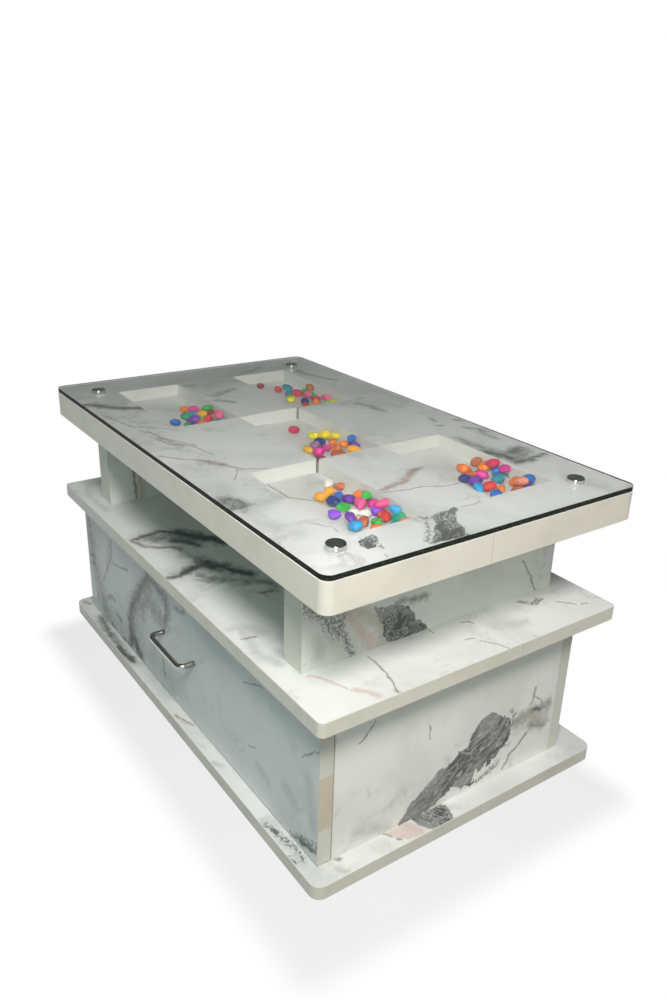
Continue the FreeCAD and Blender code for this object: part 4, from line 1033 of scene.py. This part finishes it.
    def drawer_front(self) -> MarblePrint:
        """Returns the drawer front's print: a grey arch and a haze partly of painted shade at the left,
        specks in the lower right corner.
        """
        return MarblePrint("marble_drawer_front", Face.FRONT, self.front_face, (
            # the broad haze at the left end is partly print and partly painted shade where the lamp's light
            # falls off
            *lines(Ink.HAZE, (120, (-350, 150), (-290, 60)),
                   (50, (-150, 60), (-140, 120), (-105, 152), (-70, 140)), (24, (-228, 90), (-214, 80)),
                   (20, (226, 68), (244, 62)), (20, (286, 82), (300, 72)),
                   (24, (330, 128), (340, 96), (344, 70))),
            *lines(Ink.CLOUD, (46, (-335, 160), (-318, 90), (-290, 40)),
                   (42, (-174, 60), (-164, 104), (-130, 146), (-96, 172)),
                   (40, (-128, 120), (-100, 150), (-62, 136)),
                   (26, (-94, 184), (-72, 188), (-49, 184), (-33, 178), (-31, 160), (-43, 138)),
                   (11, (-312, 66), (-281, 68), (-242, 80)), (12, (-236, 55), (-218, 54)),
                   (12, (-55, 64), (-54, 42)), (10, (-12, 176), (25, 187))),
            *lines(Ink.SMOKE, (21, (-178, 31), (-174, 51), (-180, 72), (-169, 99), (-149, 131), (-121, 163)),
                   (14, (-121, 163), (-94, 184)), (25, (-162, 47), (-154, 33), (-142, 22)),
                   (15, (-189, 23), (-177, 11)), (8, (-340, 187), (-338, 176)), (7, (-337, 121), (-322, 127)),
                   (6, (-338, 106), (-322, 110)), (8, (-262, 22), (-236, 18), (-204, 22)),
                   (7, (-328, 60), (-320, 52)), (9, (317, 31), (330, 33), (349, 38))),
            *lines(Ink.TAN, (17, (-246, 174), (-264, 128))),
            *lines(Ink.SPECKLE, (24, (-94, 184), (-72, 186), (-49, 182), (-36, 174), (-34, 158), (-43, 138)),
                   (19, (298, 25), (326, 38), (352, 48))),
            *lines(Ink.THREAD, (4, (-240, 188), (-241, 161), (-271, 118), (-300, 84)),
                   (4, (-237, 148), (-208, 152), (-173, 165)), (2.2, (196, 84), (216, 93)),
                   (2.2, (320, 149), (338, 166), (352, 178)), (2, (187, 170), (233, 190))),
        # the darker, cooler tone and shade of this ground are painted shade on the drawer front
        ), shift=(0.7, 0.0, 0.3), tone=display(224, 228, 226), shade=display(206, 210, 208), wisps=0.2)

    def base(self) -> MarblePrint:
        """Returns the base board's print: granite and rose beside the right end, specks along the front."""
        return MarblePrint("marble_base", Face.UP, self.base_top, (
            *lines(Ink.HAZE, (9, (368, -190), (378, -182)), (18, (262, -220), (340, -216)),
                   (20, (-290, -216), (-140, -218)), (8, (132, -222), (142, -218))),
            *lines(Ink.CLOUD, (6, (353, -184), (358, -179)),
                   (17, (-306, -212), (-257, -220), (-200, -222), (-150, -221))),
            *lines(Ink.SMOKE, (6, (276, -222), (284, -220)), (11, (-198, -222), (-179, -222), (-150, -220))),
            *lines(Ink.ROSE, (5, (10, -224), (30, -220), (48, -213))),
            *areas(Ink.ROSE,
                   (9, (354, -111), (350, -92), (354, -76), (376, -66), (381, -72), (381, -92), (374, -104),
                    (363, -112))),
            *lines(Ink.SPECKLE, (8, (371, -106), (375, -102)),
                   (13, (266, -224), (290, -220), (312, -212), (334, -214)), (11, (322, -226), (334, -226)),
                   (13, (-306, -211), (-270, -216), (-230, -221)), (12, (-205, -222), (-150, -220)),
                   (8, (-372, -220), (-356, -214))),
            *areas(Ink.GRANITE, (8, (346, -70), (364, -70), (381, -58), (383, -27), (356, -20), (344, -30))),
            *lines(Ink.THREAD, (3, (354, -115), (358, -112), (364, -109)), (1.8, (12, -224), (48, -212))),
        ), shift=(0.2, 0.9, 0.0), tone=display(230, 231, 227), shade=display(214, 216, 212), wisps=0.2)

    def right_upright(self) -> MarblePrint:
        """Returns the right upright's print: specks, rose and granite in front, a thread at the back."""
        return MarblePrint("marble_right_upright", Face.END, self.upright_face, (
            *lines(Ink.HAZE, (24, (-174, 278), (-175, 254)), (36, (-195, 321), (-160, 289), (-130, 250))),
            *lines(Ink.CLOUD, (12, (-67, 289), (-45, 287), (-23, 286))),
            *lines(Ink.ROSE, (17, (-132, 289), (-115, 268), (-101, 243))),
            *lines(Ink.TAN, (18, (-144, 300), (-116, 293), (-91, 271), (-82, 240))),
            *lines(Ink.SPECKLE, (24, (-195, 321), (-178, 309), (-160, 289), (-148, 276)),
                   (16, (-143, 295), (-145, 277), (-136, 260), (-127, 242)), (18, (-165, 299), (-146, 288))),
            *areas(Ink.GRANITE,
                   (8, (-100, 292), (-74, 288), (-47, 277), (-31, 258), (-17, 237), (-70, 237), (-83, 254))),
            *lines(Ink.THREAD, (2.8, (138, 292), (148, 274), (156, 261), (171, 239))),
        ), shift=(0.0, 0.2, 0.6), wisps=0.2)

    def left_upright(self) -> MarblePrint:
        """Returns the print of the left upright's inner face: a dark thread beside a rose stripe."""
        return MarblePrint("marble_left_upright", Face.END, self.inner_face, (
            *lines(Ink.HAZE, (30, (60, 330), (90, 260))),
            *lines(Ink.ROSE, (12, (-144, 330), (-146, 270), (-142, 240))),
            *lines(Ink.THREAD, (5, (-154, 330), (-156, 270), (-153, 240))),
        ), shift=(0.5, 0.0, 0.1), wisps=0.2)

    def tray(self) -> MarblePrint:
        """Returns the print of the trays' floor: a tan thread across the front middle."""
        return MarblePrint("marble_tray_floor", Face.UP, self.tray_floor, (
            *lines(Ink.HAZE, (30, (-260, -110), (-180, -60))),
            *lines(Ink.TAN, (5, (106, -133), (127, -130), (155, -128))),
            *lines(Ink.THREAD, (2.4, (108, -130), (155, -127), (180, -111))),
        ), shift=(0.9, 0.3, 0.0), tone=display(226, 227, 222), shade=display(206, 208, 203), wisps=0.25)

    def left_end(self) -> MarblePrint:
        """Returns the left end panel's print: a smoky streak and a thread with a tan patch."""
        return MarblePrint("marble_left_end", Face.END, -self.end_face, (
            *lines(Ink.HAZE, (40, (130, 30), (30, 140))),
            *lines(Ink.SMOKE, (16, (120, 40), (60, 90), (20, 150))),
            *lines(Ink.TAN, (16, (-110, 140), (-80, 100))),
            *lines(Ink.THREAD, (2.6, (-150, 180), (-90, 120), (-60, 40))),
        ), shift=(0.1, 0.7, 0.2), wisps=0.5)

    def back(self) -> MarblePrint:
        """Returns the back panel's print: a smoky streak, a granite patch, specks and a thread."""
        return MarblePrint("marble_back", Face.FRONT, self.back_face, (
            *lines(Ink.HAZE, (50, (-230, 40), (-60, 130))),
            *lines(Ink.SMOKE, (18, (-240, 30), (-170, 90), (-60, 120), (20, 190))),
            *lines(Ink.ROSE, (9, (250, 150), (300, 122))),
            *lines(Ink.SPECKLE, (24, (180, 60), (250, 110))),
            *areas(Ink.GRANITE, (9, (130, 30), (150, 66), (210, 88), (224, 60), (180, 28))),
            *lines(Ink.THREAD, (2.8, (60, 200), (140, 140), (290, 120))),
        ), shift=(0.4, 0.6, 0.0), wisps=0.4)

    def build(self) -> None:
        """Dresses every printed board."""
        for board, *nodes in (
                (self.right_end(), "right_end_panel"), (self.left_end(), "left_end_panel"),
                (self.back(), "back_panel"), (self.shelf(), "shelf_board"), (self.deck(), "top_deck"),
                (self.tray(), "top_floor_board"), (self.base(), "base_board"),
                (self.drawer_front(), "drawer_front"),
                (self.right_upright(), "right_upright_outer_board", "right_upright_inner_board"),
                (self.left_upright(), "left_upright_inner_board", "left_upright_outer_board")):
            dress(board.make(), *nodes)


@dataclass
class EdgeBands:
    """The cream bands on the boards' edges, each with its colour and mottle; lengths in millimetres."""

    base_seam: float = 20
    shelf_seam: float = 59
    top_seam: float = -11
    drawer_patch: Pair = (70, 146)
    tray_corners: Sequence[Pair] = ((-103.5, 51), (103.5, -51))
    low: tuple[Colour, Colour] = (display(226, 222, 208), display(210, 207, 192))
    box: tuple[Colour, Colour] = (display(222, 220, 208), display(208, 206, 194))
    tray: tuple[Colour, Colour] = (display(226, 227, 220), display(216, 217, 209))

    def build(self) -> None:
        """Dresses every band."""
        for band, *nodes in (
                (BandFinish("band_top", seams=(self.top_seam,)), "top_edge_band"),
                (BandFinish("band_shelf", *self.low, seams=(self.shelf_seam,)), "shelf_edge_band"),
                (BandFinish("band_base", *self.low, seams=(self.base_seam,)), "base_edge_band"),
                (BandFinish("band_drawer", *self.box, patch=self.drawer_patch), "drawer_front_edge_band"),
                (BandFinish("band_panels", *self.box), "end_panel_edge_bands", "back_panel_edge_bands",
                 "upright_edge_bands"),
                (BandFinish("band_trays", *self.tray, corners=self.tray_corners), "recess_edge_bands")):
            dress(band.make(), *nodes)


@dataclass
class GlassCover:
    """The glass sheet, its four caps and what holds them; lengths in metres.

    Attributes:
        cap_radius: radius of a cap.
        cap_foot: height of the glass, which the caps stand on.
        cap_top: height of their tops.
        cap_bevel: radius of the rounding round a cap's top.
        foot_bevel: width of the small bevel round its foot.
        beside: from a ring that ends a curve to the ring beside it.
        arc_rings: rings on the rounding.
        columns: points on a ring.
        chrome: finish of the caps.
        zinc: finish of the screws.
        nylon: finish of the bushes.
    """

    cap_radius: float = 11.25 * MM
    cap_foot: float = 405 * MM
    cap_top: float = 411 * MM
    cap_bevel: float = 1.8 * MM
    foot_bevel: float = 0.3 * MM
    beside: float = 0.2 * MM
    arc_rings: int = 7
    columns: int = 56
    chrome: MetalFinish = MetalFinish("chrome", display(206, 207, 203), display(178, 180, 176), 0.1, 0.1,
                                      (6 * MM, 6 * MM, 6 * MM))
    zinc: MetalFinish = MetalFinish("zinc_screws", display(196, 196, 192), display(150, 148, 140), 0.22, 0.2,
                                    (1.5 * MM, 1.5 * MM, 4 * MM))
    nylon: PlainFinish = PlainFinish("nylon", display(226, 228, 222), display(214, 216, 208),
                                     (8 * MM, 8 * MM, 8 * MM), 0.45)

    def spots(self) -> np.ndarray:
        """Returns the caps' middles, from the outer corners of the CAD node that holds all four."""
        low, high = (np.array(corner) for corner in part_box("glass_caps"))
        inner = (low[:2] + self.cap_radius, high[:2] - self.cap_radius)
        return np.array([(inner[a][0], inner[b][1]) for a in (0, 1) for b in (0, 1)])

    def caps(self) -> bpy.types.Object:
        """Makes the caps: a turned profile, straight up the side and over a rounded edge to a flat top.

        The edge is a quarter circle of the bevel's radius; rings stand close beside its ends, so that the
        side and the top stay flat when shaded smooth.

        Returns:
            One object with four caps.
        """
        turn = np.linspace(0, math.pi / 2, self.arc_rings)
        curve_radius = self.cap_radius - self.cap_bevel * (1 - np.cos(turn))
        curve_height = self.cap_top - self.cap_bevel * (1 - np.sin(turn))
        radius = np.concatenate([[self.cap_radius - self.foot_bevel, self.cap_radius, self.cap_radius],
                                 curve_radius, [curve_radius[-1] - self.beside, self.cap_radius / 2]])
        side_foot, side_top = self.cap_foot + self.foot_bevel, curve_height[0] - self.beside
        height = np.concatenate([[self.cap_foot, side_foot, side_top], curve_height,
                                 [self.cap_top, self.cap_top]])
        angle = np.linspace(0, 2 * math.pi, self.columns, endpoint=False)
        ring = np.stack(np.broadcast_arrays(radius[:, None] * np.cos(angle), radius[:, None] * np.sin(angle),
                                            height[:, None]), -1)
        spots = np.pad(self.spots(), ((0, 0), (0, 1)))
        poles = np.array([(0, 0, self.cap_foot), (0, 0, self.cap_top)])
        shells = Shells(ring[None] + spots[:, None, None], poles[None] + spots[:, None])
        return shells.build("glass_cap_tops", self.chrome.make())

    def build(self) -> None:
        """Dresses the glass and its fixings and puts the turned caps in."""
        dress(GlassFinish().make(), "glass_top")
        caps = self.caps()
        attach(caps, "table")
        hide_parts("glass_caps")
        LOG.info("built %s", caps.name)
        dress(self.nylon.make(), "glass_bushes")
        dress(self.zinc.make(), "glass_screws", "base_screws", "upright_screws", "top_screws",
              "runner_cabinet_screws", "runner_drawer_screws", "handle_screws", "drawer_front_screws",
              "drawer_box_screws")


@dataclass
class PebbleHeaps:
    """The pebbles in the five trays, one smooth stone for each plain stone of the frame.

    Attributes:
        rings: rings between a stone's poles.
        columns: points on a ring.
        fullness: power of the cosine that rounds a stone's side; less than one is fuller.
        lumps: how uneven a stone's outline is.
        plump: how much thicker a smooth stone is than a plain one.
        spread: how much wider it is.
        ceiling: height that no stone reaches, just under the glass.
        tilt: most that a stone leans, in radians.
        brighter: least and most that a stone's dye is brightened by, at random from stone to stone, on the
            whole a painted light that makes up for the lamp light the glass holds back.
        same_place: corners of a plain stone that are nearer than this are one.
        seed: start of the random numbers.
        dyes: the stones' dyes in each tray, in the order of the frame's stones.
    """

    rings: int = 9
    columns: int = 18
    fullness: float = 0.82
    lumps: float = 0.1
    plump: float = 1.22
    spread: float = 1.08
    ceiling: float = 398.6 * MM
    tilt: float = 0.3
    brighter: Pair = (1.1, 1.4)
    same_place: float = 0.01 * MM
    seed: int = 4
    dyes: dict[str, str] = field(default_factory=lambda: {
        "front_left": "orange magenta teal sea amber red lime blue purple lime crimson green orange teal "
                      "blue green pink purple",
        "back_left": "maroon red teal crimson green yellow teal pink navy crimson green orange lime red "
                     "copper copper yellow pink",
        "centre": "crimson yellow yellow yellow navy magenta orange orange purple magenta amber mauve copper "
                  "amber maroon blue orange yellow",
        "front_right": "white copper amber amber blue navy purple green violet orange pink magenta violet "
                       "white white red red copper sky green sea orange teal green pink sky salmon purple",
        "back_right": "orange copper orange magenta blue teal navy purple red orange orange purple blue "
                      "copper copper crimson magenta sky blue salmon",
    })

    def stones(self, tray: str) -> list[np.ndarray]:
        """Finds the corner points of each stone of a tray, in the frame's order.

        Corners at one place count as one. Each corner starts with its own number, and every triangle's
        corners take the lowest of their three numbers until nothing changes, so a stone ends up with one.

        Args:
            tray: name of the tray.

        Returns:
            The points of each stone.
        """
        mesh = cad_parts[f"pebbles_{tray}"].data
        points = np.empty(len(mesh.vertices) * 3)
        mesh.vertices.foreach_get("co", points)
        points = points.reshape(-1, 3)
        corners = np.empty(len(mesh.loops), np.int32)
        mesh.loops.foreach_get("vertex_index", corners)
        steps = np.round(points / self.same_place).astype(np.int64)
        places, where = np.unique(steps, axis=0, return_inverse=True)
        where = where.ravel()
        triangles = where[corners].reshape(-1, 3)
        number = np.arange(len(places))
        while True:
            lowest = number.copy()
            np.minimum.at(lowest, triangles.ravel(), np.repeat(number[triangles].min(1), 3))
            if np.array_equal(lowest, number):
                break
            number = lowest
        of_point = number[where]
        names, first = np.unique(of_point, return_index=True)
        return [points[of_point == name] for name in names[np.argsort(first)]]

    def shells(self, stones: list[np.ndarray], chance: np.random.Generator) -> Shells:
        """Works out a tray's smooth stones.

        A stone is an egg-like surface of longitude and latitude: the cosine of the latitude, raised to the
        fullness, gives the ring's radius, the sine gives its height, and waves of two and three lobes make
        the outline uneven. It is sized and turned to the plain stone's longest and shortest directions in
        plan, leans a little, and is lifted until it touches what the plain stone touched.

        Args:
            stones: points of each plain stone.
            chance: source of random numbers.

        Returns:
            The smooth stones.
        """
        count = len(stones)
        turn, half, middle = np.zeros(count), np.zeros((count, 3)), np.zeros((count, 3))
        for index, points in enumerate(stones):
            flat = points[:, :2] - points[:, :2].mean(0)
            long_way = np.linalg.eigh(flat.T @ flat)[1][:, 1]
            turn[index] = math.atan2(long_way[1], long_way[0])
            across = np.array([-long_way[1], long_way[0]])
            along = np.stack([points[:, :2] @ long_way, points[:, :2] @ across, points[:, 2]], -1)
            low, high = along.min(0), along.max(0)
            half[index] = (high - low) / 2
            centre = (high + low) / 2
            middle[index] = (*(long_way * centre[0] + across * centre[1]), centre[2])
        longitude = np.linspace(0, 2 * math.pi, self.columns, endpoint=False)[None, None]
        latitude = np.linspace(-math.pi / 2, math.pi / 2, self.rings + 2)[None, :, None]
        phase = chance.uniform(0, 2 * math.pi, (3, count, 1, 1))
        belt = np.abs(np.cos(latitude)) ** self.fullness
        wave = 1 + self.lumps * (np.sin(2 * longitude + phase[0]) * belt
                                 + np.cos(3 * longitude + phase[1]) * belt ** 2
                                 + 0.8 * np.sin(2 * latitude + phase[2]))
        egg = np.stack(np.broadcast_arrays(belt * np.cos(longitude) * wave, belt * np.sin(longitude) * wave,
                                           np.sin(latitude) * (1 + 0 * wave)), -1)
        half *= (self.spread, self.spread, self.plump)
        egg = egg * half[:, None, None]
        lean = chance.uniform(-self.tilt, self.tilt, (2, count))
        turned = [np.array(Matrix.Rotation(turn[i], 3, "Z") @ Matrix.Rotation(lean[0, i], 3, "Y")
                           @ Matrix.Rotation(lean[1, i], 3, "X")) for i in range(count)]
        egg = np.einsum("nij,nrcj->nrci", np.array(turned), egg)
        foot = middle[:, 2] - half[:, 2] / self.plump
        room = self.ceiling - foot
        egg[..., 2] -= egg[..., 2].min((1, 2))[:, None, None]
        egg[..., 2] *= np.minimum(1, room / egg[..., 2].max((1, 2)))[:, None, None]
        egg += (middle * (1, 1, 0))[:, None, None]
        egg[..., 2] += foot[:, None, None]
        poles = np.stack([egg[:, 0].mean(1), egg[:, -1].mean(1)], 1)
        return Shells(egg[:, 1:-1], poles)

    def build(self) -> None:
        """Makes one object of smooth stones for each tray, in place of the frame's plain stones."""
        chance = np.random.default_rng(self.seed)
        lacquer = PebbleFinish().make()
        for tray, names in self.dyes.items():
            stones = self.stones(tray)
            picked = names.split()
            dyes = [Dye[picked[index % len(picked)].upper()].value for index in range(len(stones))]
            colours = np.array(dyes)
            # the brightening varies the dye at random and, on the whole, paints in the lamp light that the
            # glass holds back
            colours[:, :3] *= chance.uniform(*self.brighter, (len(stones), 1))
            shells = self.shells(stones, chance)
            heap = shells.build(f"smooth_pebbles_{tray}", lacquer, np.clip(colours, 0, 1))
            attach(heap, "table")
            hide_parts(f"pebbles_{tray}")
            LOG.info("built %s with %d stones", heap.name, len(stones))


@dataclass
class Drawer:
    """The drawer's box, runners and bow handle; lengths in metres.

    Attributes:
        centres: distance between the handle's feet.
        reach: from the drawer front to the middle of the bar.
        bar: diameter of the bar.
        bend: radius of its bends, at the bar's middle.
        face: where the drawer front's face is along Y.
        height: height of the handle.
        leg_rings: rings from a foot to the bend.
        bend_rings: rings round a bend.
        columns: points on a ring.
        nickel: finish of the handle.
        steel: finish of the runners.
        melamine: finish of the drawer's walls.
        hardboard: finish of its bottom.
        beech: finish of the dowels.
    """

    centres: float = 96 * MM
    reach: float = 22 * MM
    bar: float = 8 * MM
    bend: float = 9 * MM
    face: float = -208.5 * MM
    height: float = 119.5 * MM
    leg_rings: int = 3
    bend_rings: int = 12
    columns: int = 28
    nickel: MetalFinish = MetalFinish("satin_nickel", display(186, 184, 174), display(150, 148, 138),
                                      0.16, 0.14, (20 * MM, 3 * MM, 3 * MM))
    steel: MetalFinish = MetalFinish("runner_steel", display(190, 192, 192), display(160, 160, 158),
                                     0.26, 0.2, (3 * MM, 60 * MM, 3 * MM))
    melamine: PlainFinish = PlainFinish("drawer_melamine", display(232, 231, 226), display(222, 221, 214),
                                        (30 * MM, 12 * MM, 12 * MM), 0.42)
    hardboard: PlainFinish = PlainFinish("drawer_hardboard", display(224, 222, 214), display(206, 203, 192),
                                         (9 * MM, 40 * MM, 9 * MM), 0.5)
    beech: PlainFinish = PlainFinish("beech_dowels", display(206, 172, 128), display(176, 138, 94),
                                     (1.2 * MM, 1.2 * MM, 14 * MM), 0.6)

    def route(self) -> np.ndarray:
        """Returns the middle line of the handle's bar.

        It goes straight out from the drawer front, round a quarter circle, along the bar and back by the same
        way mirrored.

        Returns:
            Points along the line.
        """
        end, out = self.centres / 2, self.face - self.reach
        arc = np.linspace(math.pi, math.pi * 1.5, self.bend_rings)
        leg = np.linspace(self.face, out + self.bend, self.leg_rings, endpoint=False)
        x = np.concatenate([np.full(len(leg), -end), -end + self.bend * (1 + np.cos(arc)), [-end / 3]])
        y = np.concatenate([leg, out + self.bend * (1 + np.sin(arc)), [out]])
        half = np.stack([x, y, np.full(len(x), self.height)], -1)
        return np.concatenate([half, (half * (-1, 1, 1))[::-1]])

    def handle(self) -> bpy.types.Object:
        """Makes the handle: a circle carried along the bar's middle line, upright to it at each point.

        Returns:
            The handle.
        """
        line = self.route()
        ahead = np.gradient(line, axis=0)
        ahead /= np.linalg.norm(ahead, axis=1, keepdims=True)
        up = np.array([0, 0, 1.0])
        side = np.cross(up, ahead)
        angle = np.linspace(0, 2 * math.pi, self.columns, endpoint=False)
        ring = side[:, None] * np.cos(angle)[:, None] + up * np.sin(angle)[:, None]
        rings = line[:, None] + ring * self.bar / 2
        shells = Shells(rings[None], line[None, [0, -1]])
        return shells.build("bow_handle", self.nickel.make())

    def build(self) -> None:
        """Dresses the drawer and puts the bent handle in."""
        handle = self.handle()
        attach(handle, "drawer")
        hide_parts("drawer_handle")
        LOG.info("built %s", handle.name)
        dress(self.melamine.make(), "drawer_inner_front", "drawer_left_side", "drawer_right_side",
              "drawer_back")
        dress(self.hardboard.make(), "drawer_bottom")
        dress(self.steel.make(), *(f"{side}_runner_{rail}_rail" for side in ("left", "right")
                                   for rail in ("cabinet", "middle", "drawer")))
        dress(self.beech.make(), "shelf_dowels")


@dataclass
class Studio:
    """Floor, light and camera.

    Attributes:
        eye: the camera's place.
        yaw: turn of the view from +Y towards -X, in radians.
        pitch: rise of the view.
        roll: lean of the picture.
        focal: focal length in picture heights.
        sensor: height of the camera's sensor, in millimetres.
        nearest: how near the camera sees.
        lamp: place of the key lamp, above the camera.
        lamp_radius: radius of both lamps.
        lamp_power: the key lamp's power in watts.
        lamp_colour: its colour.
        flash_power: power of a small cool lamp at the camera.
        flash_colour: its colour.
        fill: light from all round.
        right_fill: soft light from the right, at its strongest along X.
        front_fill: soft light from the front, at its strongest against Y.
        back_fill: soft light from the back and the left, low down.
        back_heights: share of the height at which that light ends and at which it is full.
        ceiling: what mirrors show above the white of the horizon.
        ceiling_heights: share of the height at which the ceiling starts and at which it is full.
        painted_shadow_size: half sizes of the painted shadow on the floor, with one for Z that leaves the
            height out.
        painted_shadow_shift: from the table to the middle of the painted shadow in front of it.
        painted_shadow_reach: how far beyond its outline the painted shadow fades out.
        painted_shadow_glow: how pale the painted shadow is at its deepest.
        painted_shadow_diffuse: how much of the real light the floor adds to that inside the painted shadow.
        bounce: colour that the floor throws back at the table.
        floor_reach: from the table to the floor's edges.
        floor_level: height of the floor, just under the table's foot.
    """

    eye: Point = (0.957878, -0.631587, 0.775860)
    yaw: float = 0.95297
    pitch: float = -0.39406
    roll: float = 0.03189
    focal: float = 0.859017
    sensor: float = 36
    nearest: float = 0.05
    lamp: Point = (0.975, -0.57, 1.38)
    lamp_radius: float = 0.22
    lamp_power: float = 79
    lamp_colour: Point = (1.0, 0.955, 0.955)
    flash_power: float = 5
    flash_colour: Point = (0.75, 1.0, 0.95)
    fill: Point = (0.03, 0.035, 0.035)
    right_fill: Point = (0.16, 0.14, 0.11)
    front_fill: Point = (0.10, 0.23, 0.225)
    back_fill: Point = (0.78, 0.81, 0.80)
    back_heights: Pair = (0.45, 0.1)
    ceiling: Colour = (0.10, 0.115, 0.105, 1.0)
    ceiling_heights: Pair = (0.03, 0.17)
    painted_shadow_size: Point = (0.381, 0.2285, 1.0)
    painted_shadow_shift: Point = (0.062, -0.046, 0.0)
    painted_shadow_reach: float = 0.05
    painted_shadow_glow: float = 0.72
    painted_shadow_diffuse: Colour = (0.14, 0.14, 0.14, 1.0)
    bounce: Colour = (0.25, 0.25, 0.25, 1.0)
    floor_reach: float = 12.0
    floor_level: float = -0.2 * MM

    def camera(self) -> None:
        """Places the camera that the photograph was taken from."""
        sight = Vector((-math.sin(self.yaw) * math.cos(self.pitch), math.cos(self.yaw) * math.cos(self.pitch),
                        math.sin(self.pitch)))
        right = sight.cross(Vector((0, 0, 1))).normalized()
        up = right.cross(sight)
        right, up = (math.cos(self.roll) * right + math.sin(self.roll) * up,
                     math.cos(self.roll) * up - math.sin(self.roll) * right)
        lens = bpy.data.cameras.new("camera")
        lens.sensor_fit = "VERTICAL"
        lens.sensor_height = self.sensor
        lens.lens = self.focal * self.sensor
        lens.clip_start = self.nearest
        taker = bpy.data.objects.new("camera", lens)
        taker.matrix_world = Matrix.Translation(self.eye) @ Matrix((right, up, -sight)).transposed().to_4x4()
        bpy.context.scene.collection.objects.link(taker)
        bpy.context.scene.camera = taker

    def lights(self) -> None:
        """Hangs a soft round lamp above the camera and a small cool one at it."""
        for name, place, power, colour in (("key_lamp", self.lamp, self.lamp_power, self.lamp_colour),
                                           ("flash", self.eye, self.flash_power, self.flash_colour)):
            lamp = bpy.data.lights.new(name, "POINT")
            lamp.shadow_soft_size = self.lamp_radius
            lamp.energy = power
            lamp.color = colour
            hung = bpy.data.objects.new(name, lamp)
            hung.location = place
            bpy.context.scene.collection.objects.link(hung)

    def surroundings(self) -> None:
        """Lights the room softly from all four sides.

        The camera sees white all round; mirrors show white at the horizon and a dim ceiling. The soft light
        from a side is that side's share of the direction, or nothing behind it, and from the back and the
        left it fades out upwards.
        """
        world = bpy.data.worlds.new("room")
        bpy.context.scene.world = world
        world.use_nodes = True
        graph = Graph(world.node_tree)
        right, back, height = graph.axes(graph.node("ShaderNodeTexCoord", output="Generated"))
        mirrored = graph.mix(graph.smooth(height, *self.ceiling_heights), WHITE, self.ceiling)
        camera = graph.node("ShaderNodeLightPath", output="Is Camera Ray")
        soft = self.fill
        low = graph.smooth(height, *self.back_heights)
        for side, colour in ((right, self.right_fill), (back * -1.0, self.front_fill),
                             (back * low, self.back_fill), (right * low * -1.0, self.back_fill)):
            share = graph.maths("MAXIMUM", side, 0.0)
            soft = graph.vector("ADD", graph.scaled(colour, share), soft)
        seen = graph.mix(graph.in_mirrors(), soft, mirrored)
        colour = graph.mix(camera, seen, WHITE)
        light = graph.node("ShaderNodeBackground", sockets={"Color": colour, "Strength": 1.0})
        out = graph.tree.nodes.new("ShaderNodeOutputWorld")
        graph.tree.links.new(light.socket, out.inputs["Surface"])

    def floor(self) -> None:
        """Lays a pale floor that reads as white paper, with a painted soft shadow round the table's foot
        where a little real shadow shows too.
        """
        paint = Paint("floor_paper")
        # painted shadow: a box set in front of the table's foot, fading out past its outline
        from_painted_shadow = paint.vector("ABSOLUTE", paint.vector("SUBTRACT", paint.place(), self.painted_shadow_shift))
        beyond = paint.vector("SUBTRACT", from_painted_shadow, self.painted_shadow_size)
        past = paint.vector("MAXIMUM", beyond, (0.0, 0.0, 0.0))
        far = paint.smooth(paint.vector("LENGTH", past, output=1), 0.0, self.painted_shadow_reach)
        camera = paint.node("ShaderNodeLightPath", output="Is Camera Ray")
        seen = paint.maths("MAXIMUM", camera, paint.in_mirrors())
        bounce = paint.node("ShaderNodeBsdfDiffuse", sockets={"Color": self.bounce})
        shaded = paint.node("ShaderNodeBsdfDiffuse", sockets={"Color": self.painted_shadow_diffuse})
        # inside the painted shadow the paper glows less and takes a little real light; beyond it the paper is
        # plain white
        glow = paint.node("ShaderNodeEmission", sockets={"Color": WHITE, "Strength": self.painted_shadow_glow})
        near = paint.node("ShaderNodeAddShader", sockets={0: shaded, 1: glow})
        white = paint.node("ShaderNodeEmission", sockets={"Color": WHITE, "Strength": 1.0})
        paper = paint.node("ShaderNodeMixShader", sockets={0: far, 1: near, 2: white})
        material = paint.show(paint.node("ShaderNodeMixShader", sockets={0: seen, 1: bounce, 2: paper}))
        corners = np.array([(-1, -1), (1, -1), (1, 1), (-1, 1)]) * self.floor_reach
        mesh = bpy.data.meshes.new("floor")
        mesh.from_pydata([(x, y, self.floor_level) for x, y in corners.tolist()], [], [(0, 1, 2, 3)])
        mesh.materials.append(material)
        paper_floor = bpy.data.objects.new("floor", mesh)
        bpy.context.scene.collection.objects.link(paper_floor)

    def build(self) -> None:
        """Sets the whole studio up."""
        self.camera()
        self.lights()
        self.surroundings()
        self.floor()
        bpy.context.scene.view_settings.view_transform = "Standard"


def main() -> None:
    """Builds the table's looks and the studio."""
    logging.basicConfig(level=logging.INFO, format="%(name)s: %(message)s")
    for part in (PrintedBoards(), EdgeBands(), GlassCover(), PebbleHeaps(), Drawer(), Studio()):
        part.build()
        LOG.info("finished %s", type(part).__name__)


if __name__ == "__main__":
    main()
